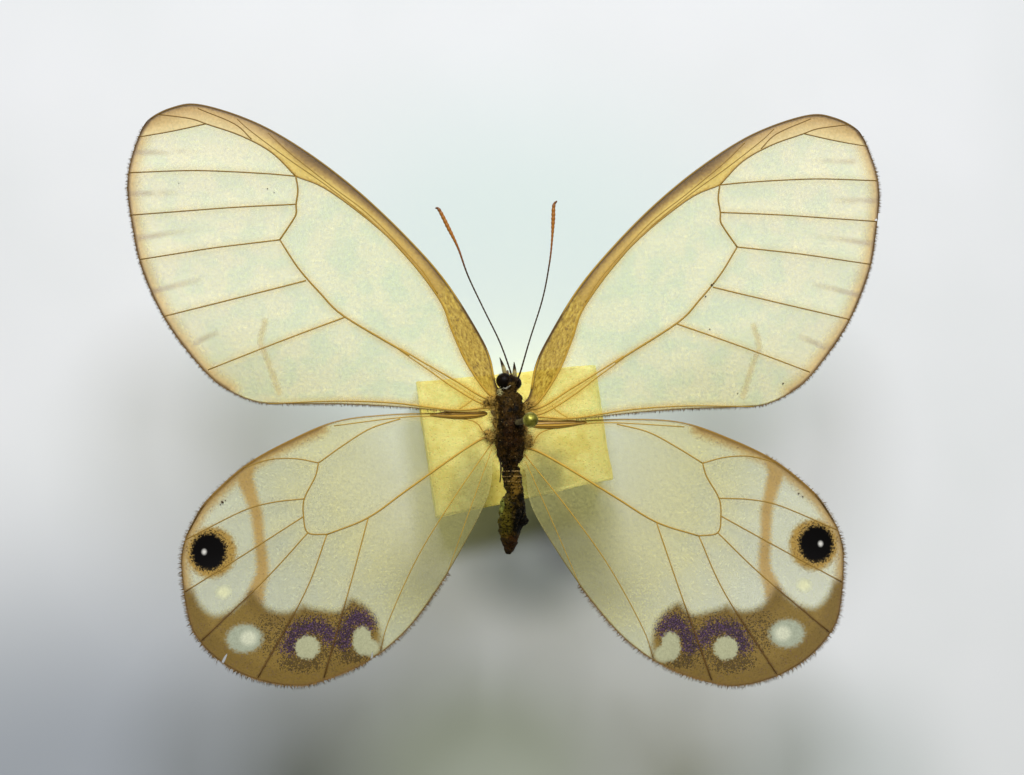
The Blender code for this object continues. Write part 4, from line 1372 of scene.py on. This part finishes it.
eye_centre, eye_radius = EYES["left"]
rim_scales = []
for index in range(34):
    angle = math.radians(random.triangular(232, 330, 280))
    out = Vector((math.cos(angle), math.sin(angle), 0.0))
    root = Vector(eye_centre) + out * eye_radius * random.uniform(0.84, 1.0)
    root.z += random.uniform(0.30, 0.48)
    direction = Vector((-out.y, out.x, 0.0)) * random.uniform(-1, 1) + out * 0.2 + Vector((0, 0, 0.2))
    rim_scales.append((root, direction, random.uniform(0.10, 0.20), 0.028))
make_spikes("left_eye_rim", rim_scales, white_scale_finish)

# %% [markdown]
# ## Antennae, palps, tongue and legs
# These are all slender tubes along the frame's own curves. An antenna is a chain of short joints
# that swells into a club. The club is orange-brown with a dark tip, so each point stores how far
# along the piece it is.

# %% Slender parts
LEFT_ANTENNA = [(-0.3, 3.4), (-0.55, 4.3), (-1.35, 6.45), (-2.7, 9.2), (-3.85, 11.65),
                (-4.6, 13.75), (-5.4, 15.4), (-6.1, 16.75), (-6.4, 16.9)]
RIGHT_ANTENNA = [(0.05, 3.3), (0.35, 4.1), (1.05, 6.5), (2.1, 9.85), (2.65, 12.7),
                 (2.85, 14.6), (2.93, 16.1), (2.98, 17.2), (3.22, 17.55)]
ANTENNA_Z = 25.5
ANTENNA_RISE = 0.8
ANTENNA_RADII = [0.085, 0.07, 0.06, 0.06, 0.065, 0.09, 0.155, 0.13, 0.05]
ANTENNA_JOINT_MM = 0.34
LEFT_PALP = [(-0.8, 3.6, 25.1), (-1.0, 4.35, 25.35), (-1.32, 5.15, 25.7)]
RIGHT_PALP = [(-0.1, 3.4, 25.0), (-0.12, 4.1, 25.3), (-0.18, 4.8, 25.65)]
PALP_RADII = [0.19, 0.16, 0.03]
BODY_X = -0.5
LEGS = {
    "foreleg": ([(0.45, 1.55, 23.7), (0.75, 1.9, 22.95), (0.5, 2.35, 22.3), (0.3, 1.7, 21.7)], 0.11),
    "midleg": ([(0.55, 0.3, 23.6), (1.15, 0.75, 22.5), (1.25, 1.35, 21.3), (0.8, 0.5, 20.0),
                (0.5, -0.5, 19.1), (0.6, -1.3, 18.6)], 0.13),
    "hindleg": ([(0.5, -1.3, 23.55), (0.75, -1.9, 22.4), (0.7, -2.5, 21.2), (0.4, -3.2, 19.8),
                 (0.3, -4.1, 18.7), (0.35, -4.9, 18.3)], 0.13),
}
TONGUE_CENTRE = (-0.6, 3.72, 24.25)
TONGUE_OUTER = 0.50
TONGUE_INNER = 0.16
TONGUE_TURNS = 1.75
TONGUE_TURN_STEPS = 40
TONGUE_RADIUS = 0.07


def make_slender_finish(name, stops, roughness=0.4):
    """A colour that changes along the piece, with fine darker grains."""
    material, tree, shader = new_material(name)
    grains = place_group(scale_grain, Place=object_place(tree), Fineness=16.0)
    colour = ramp(attribute(tree, "along"), stops)
    colour = paint(grains["Grain"] * 0.25, colour, (30, 18, 8))
    set_sockets(shader, Base_Color=colour, Roughness=roughness, Specular_IOR_Level=0.3,
                Normal=bump(grains["Height"], 0.008, 0.5))
    return material


def joined_stations(points, steps, joint_mm, swell):
    """A smooth path whose radius swells and narrows once each joint length."""
    path = smooth_path(points, steps)
    reached = 0.0
    stations = [tuple(path[0])]
    for before, station in zip(path, path[1:]):
        reached += (station.xyz - before.xyz).length
        ripple = 1 + swell * math.cos(2 * math.pi * reached / joint_mm)
        stations.append((station.x, station.y, station.z, station.w * ripple))
    return stations


def make_slender(name, stations, material):
    """One slender part, in place of its node in the frame."""
    mesh = tube_mesh(name, [stations], 3)
    along = distance_to_paths(point_places(mesh), [[station[:3] for station in stations]])[2]
    write_attribute(mesh, "along", along)
    shape = opened(mesh)
    bmesh.ops.scale(shape, verts=shape.verts, vec=(MM,) * 3)
    finish_piece(name, written(shape, mesh), material, [name])


SHAFT = (62, 40, 18)
CLUB = (166, 104, 34)
antenna_finish = make_slender_finish("antenna", [(0.0, (48, 32, 18)), (0.62, SHAFT),
                                                 (0.74, (140, 82, 32)), (0.82, CLUB),
                                                 (0.95, CLUB), (1.0, (96, 56, 26))])
palp_finish = make_slender_finish("palp", [(0.0, (140, 124, 76)), (0.5, (186, 170, 116)),
                                           (0.66, (60, 44, 28)), (1.0, (24, 17, 12))], 0.5)
leg_finish = make_slender_finish("leg", [(0.0, (60, 42, 22)), (0.4, (104, 76, 38)),
                                         (1.0, (58, 40, 22))], 0.45)
tongue_finish = make_slender_finish("tongue", [(0.0, (96, 62, 28)), (1.0, (60, 38, 18))])

for name, points in (("left_antenna", LEFT_ANTENNA), ("right_antenna", RIGHT_ANTENNA)):
    last = len(points) - 1
    control = [(x, y, ANTENNA_Z + ANTENNA_RISE * index / last, radius)
               for index, ((x, y), radius) in enumerate(zip(points, ANTENNA_RADII))]
    make_slender(name, joined_stations(control, 22, ANTENNA_JOINT_MM, 0.10), antenna_finish)

for name, points in (("left_palp", LEFT_PALP), ("right_palp", RIGHT_PALP)):
    control = [(*point, radius) for point, radius in zip(points, PALP_RADII)]
    make_slender(name, [tuple(station) for station in smooth_path(control, 10)], palp_finish)

for side, sign in (("left", -1), ("right", 1)):
    for leg, (points, radius) in LEGS.items():
        last = len(points) - 1
        control = [(BODY_X + sign * out, along, up, radius * (1 - 0.6 * index / last))
                   for index, (out, along, up) in enumerate(points)]
        make_slender(side + "_" + leg, joined_stations(control, 14, 1.3, 0.16), leg_finish)

tongue_steps = int(TONGUE_TURNS * TONGUE_TURN_STEPS)
tongue = []
for step in range(tongue_steps + 1):
    share = step / tongue_steps
    angle = math.radians(90) - share * TONGUE_TURNS * 2 * math.pi
    reach = TONGUE_OUTER + (TONGUE_INNER - TONGUE_OUTER) * share
    tongue.append((TONGUE_CENTRE[0], TONGUE_CENTRE[1] + reach * math.cos(angle),
                   TONGUE_CENTRE[2] + reach * math.sin(angle), TONGUE_RADIUS * (1.1 - 0.5 * share)))
make_slender("proboscis", tongue, tongue_finish)
print("slender parts: 2 antennae, 2 palps, 6 legs and the coiled tongue")

# %% [markdown]
# ## Hair on the body
# The thorax is furry, most of all at its sides and around the wing roots, and the hairs sweep
# back. Each tuft picks random faces of the body mesh inside a box and grows a few spikes there.

# %% Grow the hair
HAIR_UPRIGHT = 0.6
HAIR_RADIUS = 0.011


def tuft(mesh, count, box_low, box_high, lengths_mm, sweep, spread=0.5):
    """Spikes on the faces of a mesh that lie in a box, swept in one direction."""
    inside = [polygon for polygon in mesh.polygons
              if all(low <= value / MM <= high
                     for low, value, high in zip(box_low, polygon.center, box_high))]
    spikes = []
    for polygon in random.choices(inside, k=count) if inside else []:
        loose = Vector([random.gauss(0, spread) for _ in range(3)])
        direction = Vector(polygon.normal) * HAIR_UPRIGHT + Vector(sweep) + loose
        root = Vector(polygon.center) / MM - Vector(polygon.normal) * 0.03
        spikes.append((root, direction, random.uniform(*lengths_mm), HAIR_RADIUS))
    return spikes


brown_hair = make_hair_finish("brown_hair", (13, 8, 2), (80, 52, 16))
golden_hair = make_hair_finish("golden_hair", (84, 58, 20), (198, 166, 88))
back = (0.0, -0.8, 0.1)
body_hairs = tuft(thorax_mesh, 1500, (-3, -4, 24.6), (2, 3, 27), (0.25, 0.6), back)
body_hairs += tuft(thorax_mesh, 500, (-3, -4, 23), (2, 3, 24.6), (0.3, 0.7), (0, -0.4, -0.5))
body_hairs += tuft(abdomen_mesh, 450, (-2, -10.6, 22), (1.5, -3.3, 26), (0.12, 0.3), back)
body_hairs += tuft(head_mesh, 260, (-1.6, 2.5, 25.0), (0.6, 3.9, 26.2), (0.15, 0.35), (0, 0.3, 0.2))
make_spikes("body_hair", body_hairs, brown_hair)
side_hairs = tuft(thorax_mesh, 300, (-3, -2.2, 24.3), (-1.6, 2.4, 26), (0.4, 0.9), (-0.7, -0.3, 0))
side_hairs += tuft(thorax_mesh, 300, (0.6, -2.4, 24.3), (2, 2.2, 26), (0.4, 0.9), (0.7, -0.3, 0))
side_hairs += tuft(thorax_mesh, 420, (-3, -1.9, 24.3), (-1.5, 1.9, 25.6), (0.3, 1.0),
                   (-0.8, 0.1, 0), 0.9)
side_hairs += tuft(thorax_mesh, 420, (0.6, -1.9, 24.3), (2, 1.9, 25.6), (0.3, 1.0),
                   (0.8, 0.1, 0), 0.9)
make_spikes("side_hair", side_hairs, golden_hair)

# %% [markdown]
# ## The pin
# An insect pin is a fine steel wire with a bead as its head. A turned shape is easiest as a
# profile that is spun round the axis: the shaft with its long point, and the bead with the small
# collar where the wire enters it.

# %% Pin and its bead
SPIN_STEPS = 40


def spun_mesh(name, profile):
    """Spins a profile of (radius, height) points, in millimetres, round the pin's axis."""
    shape = bmesh.new()
    vertices = [shape.verts.new((radius * MM, 0.0, height * MM)) for radius, height in profile]
    edges = [shape.edges.new(pair) for pair in zip(vertices, vertices[1:])]
    bmesh.ops.spin(shape, geom=vertices + edges, axis=(0, 0, 1), cent=(0, 0, 0),
                   angle=2 * math.pi, steps=SPIN_STEPS, use_merge=True)
    bmesh.ops.remove_doubles(shape, verts=shape.verts, dist=WELD_MM / 2 * MM)
    bmesh.ops.recalc_face_normals(shape, faces=shape.faces)
    return written(shape, name)


def make_metal_finish(name, bright, dull, roughness):
    """Metal with fine tarnish."""
    material, tree, shader = new_material(name)
    place = object_place(tree)
    blotch = place_group(mottle, Place=place, Size=0.3)["Blotch"]
    grains = place_group(scale_grain, Place=place, Fineness=30.0)
    set_sockets(shader, Base_Color=paint(blotch, dull, bright), Metallic=1.0,
                Roughness=between(blotch, roughness + 0.12, roughness),
                Normal=bump(grains["Height"], 0.003, 0.3))
    return material


PIN_RADIUS = 0.225
BEAD_RADIUS = 0.54
BEAD_STEPS = 21
BEAD_STEP_DEGREES = 7.2
pin_low, pin_high = (corner.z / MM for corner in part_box("insect_pin"))
bead_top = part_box("pin_head")[1].z / MM
bead_middle = bead_top - BEAD_RADIUS
steel = make_metal_finish("pin_steel", (112, 104, 84), (70, 62, 46), 0.34)
brass = make_metal_finish("pin_brass", (168, 162, 76), (112, 108, 44), 0.44)
pin_profile = [(0.0, pin_low), (0.06, pin_low + 0.18), (0.14, pin_low + 0.6), (0.2, pin_low + 1.0),
               (PIN_RADIUS, pin_low + 1.3), (PIN_RADIUS, pin_high), (0.0, pin_high)]
finish_piece("insect_pin", spun_mesh("insect_pin", pin_profile), steel, ["insect_pin"])
bead_profile = [(0.0, bead_top)]
for step in range(1, BEAD_STEPS + 1):
    angle = math.radians(90 - step * BEAD_STEP_DEGREES)
    bead_profile.append((BEAD_RADIUS * math.cos(angle), bead_middle + BEAD_RADIUS * math.sin(angle)))
bead_profile += [(0.29, bead_middle - 0.47), (0.27, bead_middle - 0.52), (0.0, bead_middle - 0.52)]
finish_piece("pin_head", spun_mesh("pin_head", bead_profile), brass, ["pin_head"])
print("pin from", round(pin_low, 2), "to", round(pin_high, 2), "mm, bead up to",
      round(bead_top, 2), "mm")

# %% [markdown]
# ## The foam block
# The block was cut from a sheet by hand, so its sides are slightly wavy and its edges are not
# crisp. Its skin has small open cells. The mesh is a box drawn to the frame's corners, beveled and
# divided finely, and then dented by noise.

# %% Foam block
FOAM_CORNERS = [(-7.8, 4.1), (9.0, 5.7), (10.5, -5.0), (-5.9, -8.6)]
FOAM_HEIGHT = 6.0
FOAM_CUTS = 46
# Painted soft shadows of the body on its top, each as a centre, half sizes and a strength
FOAM_PAINTED_SHADOWS = [((-2.5, -5.5), (1.6, 3.2), 0.7), ((3.9, -5.0), (2.1, 2.6), 1.0),
               ((3.2, -0.4), (1.4, 1.2), 0.35)]


def make_foam_finish():
    """Soft yellow foam: a little paler in its worn skin, with small cells painted darker as shade in
    their hollows, and the body's shadows painted on its top.
    """
    material, tree, shader = new_material("foam")
    place = object_place(tree)
    cells = result_of(tree, "ShaderNodeTexVoronoi", {"Vector": place, "Scale": 3.4}, "Distance")
    depth = fade(cells, 0.32, 0.06)
    worn = noise_value(place, 0.4, 5.0, 0.7)
    colour = paint(fade(worn, 0.36, 0.64), (226, 205, 92), (246, 233, 136))
    # The cells are pits, and their hollows are painted darker as shade.
    colour = paint(depth * 0.35, colour, (190, 166, 58))
    # The body's soft shadows are painted as dull ovals, on the foam's top face only.
    height = result_of(tree, "ShaderNodeSeparateXYZ", {0: place}, "Z")
    top = fade(height, FOAM_HEIGHT - 0.7, FOAM_HEIGHT - 0.1)
    for centre, half_size, strength in FOAM_PAINTED_SHADOWS:
        shade = place_group(oval_mark, Place=place, Centre=(*centre, FOAM_HEIGHT), Noise=worn,
                            Half_Size=(*half_size, 30.0), Blur=0.75, Ragged=1.4)["Mask"]
        shade = shade * strength * top
        colour = paint(shade, colour, (108, 103, 46))
    relief = noise_value(place, 2.0) * 0.6 + 1.0 - depth
    set_sockets(shader, Base_Color=colour, Roughness=0.9, Subsurface_Weight=0.15,
                Subsurface_Scale=0.5 * MM, Normal=bump(relief, 0.08, 0.6))
    return material


shape = bmesh.new()
bmesh.ops.create_cube(shape, size=1.0)
for vertex in shape.verts:
    quarter = (vertex.co.x > 0, vertex.co.y > 0)
    corner = next(spot for spot in FOAM_CORNERS if (spot[0] > 0, spot[1] > 0) == quarter)
    vertex.co = (*corner, FOAM_HEIGHT * (vertex.co.z + 0.5))
bmesh.ops.bevel(shape, geom=list(shape.edges), offset=0.12, segments=2, profile=0.5,
                affect="EDGES", material=-1)
bmesh.ops.subdivide_edges(shape, edges=list(shape.edges), cuts=FOAM_CUTS, use_grid_fill=True)
shape.normal_update()
for vertex in shape.verts:
    wave = noise.noise(vertex.co * 0.22) * 0.22 + noise.noise(vertex.co * 0.9) * 0.05
    pit = min(0.0, noise.noise(vertex.co * 2.6) + 0.25) * 0.12
    low_side = vertex.normal.z < -0.5
    vertex.co += vertex.normal * (0.0 if low_side else wave * abs(1 - abs(vertex.normal.z)) + pit)
bmesh.ops.scale(shape, verts=shape.verts, vec=(MM,) * 3)
foam_mesh = written(shape, "foam_block")
foam = finish_piece("foam_block", foam_mesh, make_foam_finish(), ["foam_block"])
print("foam block:", len(foam_mesh.polygons), "faces")

# %% [markdown]
# ## Floor and light
# A pale floor and two soft lamps above the far edge light the wings evenly, and let them cast a faint
# shadow towards the camera's near edge. Deeper shade and soft shadows are also painted onto the floor
# as dull ovals.

# %% Floor, lamps and surroundings
FLOOR_HALF = 0.9
LAMP_SIZE = 60 * MM
# Painted soft shadows and shade on the floor, each as a colour, a centre, half sizes and a strength
FLOOR_PAINTED_SHADOWS = [
    ((156, 160, 169), (-38.0, -42.0), (58.0, 42.0), 1.0),
    ((207, 218, 218), (2.0, 12.0), (38.0, 30.0), 1.0),
    ((164, 169, 155), (-1.5, -33.0), (19.0, 13.0), 0.95),
    ((186, 190, 190), (33.0, -37.0), (17.0, 17.0), 0.8),
    ((150, 156, 162), (3.6, -12.5), (10.0, 8.5), 0.85),
    ((98, 101, 105), (7.8, -10.6), (6.0, 5.6), 0.75),
]


def make_floor():
    """A pale, matt floor with soft shadows and shade painted on it as duller ovals."""
    material, tree, shader = new_material("floor_card")
    place = object_place(tree)
    cloud = noise_value(place, 0.05, 2.0, 0.5)
    colour = ramp(cloud, [(0.3, (218, 219, 222)), (0.7, (223, 223, 227))])
    # Each oval paints shade into the floor's colour: the light's fall towards the near and left sides,
    # and soft shadows of the wings, body and foam.
    for shade, centre, half_size, strength in FLOOR_PAINTED_SHADOWS:
        dull = fade(length(in_oval(place, centre, half_size)), 1.0, 0.25) * strength
        colour = paint(dull, colour, shade)
    set_sockets(shader, Base_Color=colour, Roughness=0.85)
    shape = bmesh.new()
    bmesh.ops.create_grid(shape, x_segments=1, y_segments=1, size=FLOOR_HALF)
    bmesh.ops.translate(shape, verts=shape.verts, vec=(0, 0, -0.02 * MM))
    mesh = written(shape, "floor")
    mesh.materials.append(material)
    floor = bpy.data.objects.new("floor", mesh)
    bpy.context.scene.collection.objects.link(floor)


def make_lamp(name, spot_mm, aim_mm, half_angle, blend, watts, colour):
    """A soft spot lamp whose light fades towards the rim of its cone."""
    data = bpy.data.lights.new(name, "SPOT")
    data.spot_size = half_angle * 2
    data.spot_blend = blend
    data.shadow_soft_size = LAMP_SIZE
    data.energy = watts
    data.color = colour
    lamp = bpy.data.objects.new(name, data)
    lamp.location = Vector(spot_mm) * MM
    aim = Vector(aim_mm) - Vector(spot_mm)
    lamp.rotation_euler = aim.to_track_quat("-Z", "Y").to_euler()
    bpy.context.scene.collection.objects.link(lamp)


make_floor()
make_lamp("left_lamp", (-62, 240, 345), (0, 10, 25), 0.46, 0.9, 4.8, (0.91, 0.915, 0.97))
make_lamp("right_lamp", (70, 240, 345), (6, 8, 25), 0.46, 0.9, 4.0, (0.88, 0.90, 0.97))
world = bpy.data.worlds.new("soft_room")
world.use_nodes = True
set_sockets(world.node_tree.nodes["Background"].inputs, Color=(1.0, 1.04, 0.58, 1.0), Strength=0.19)
bpy.context.scene.world = world
bpy.context.scene.view_settings.view_transform = "Standard"
print("stage and lamps ready")
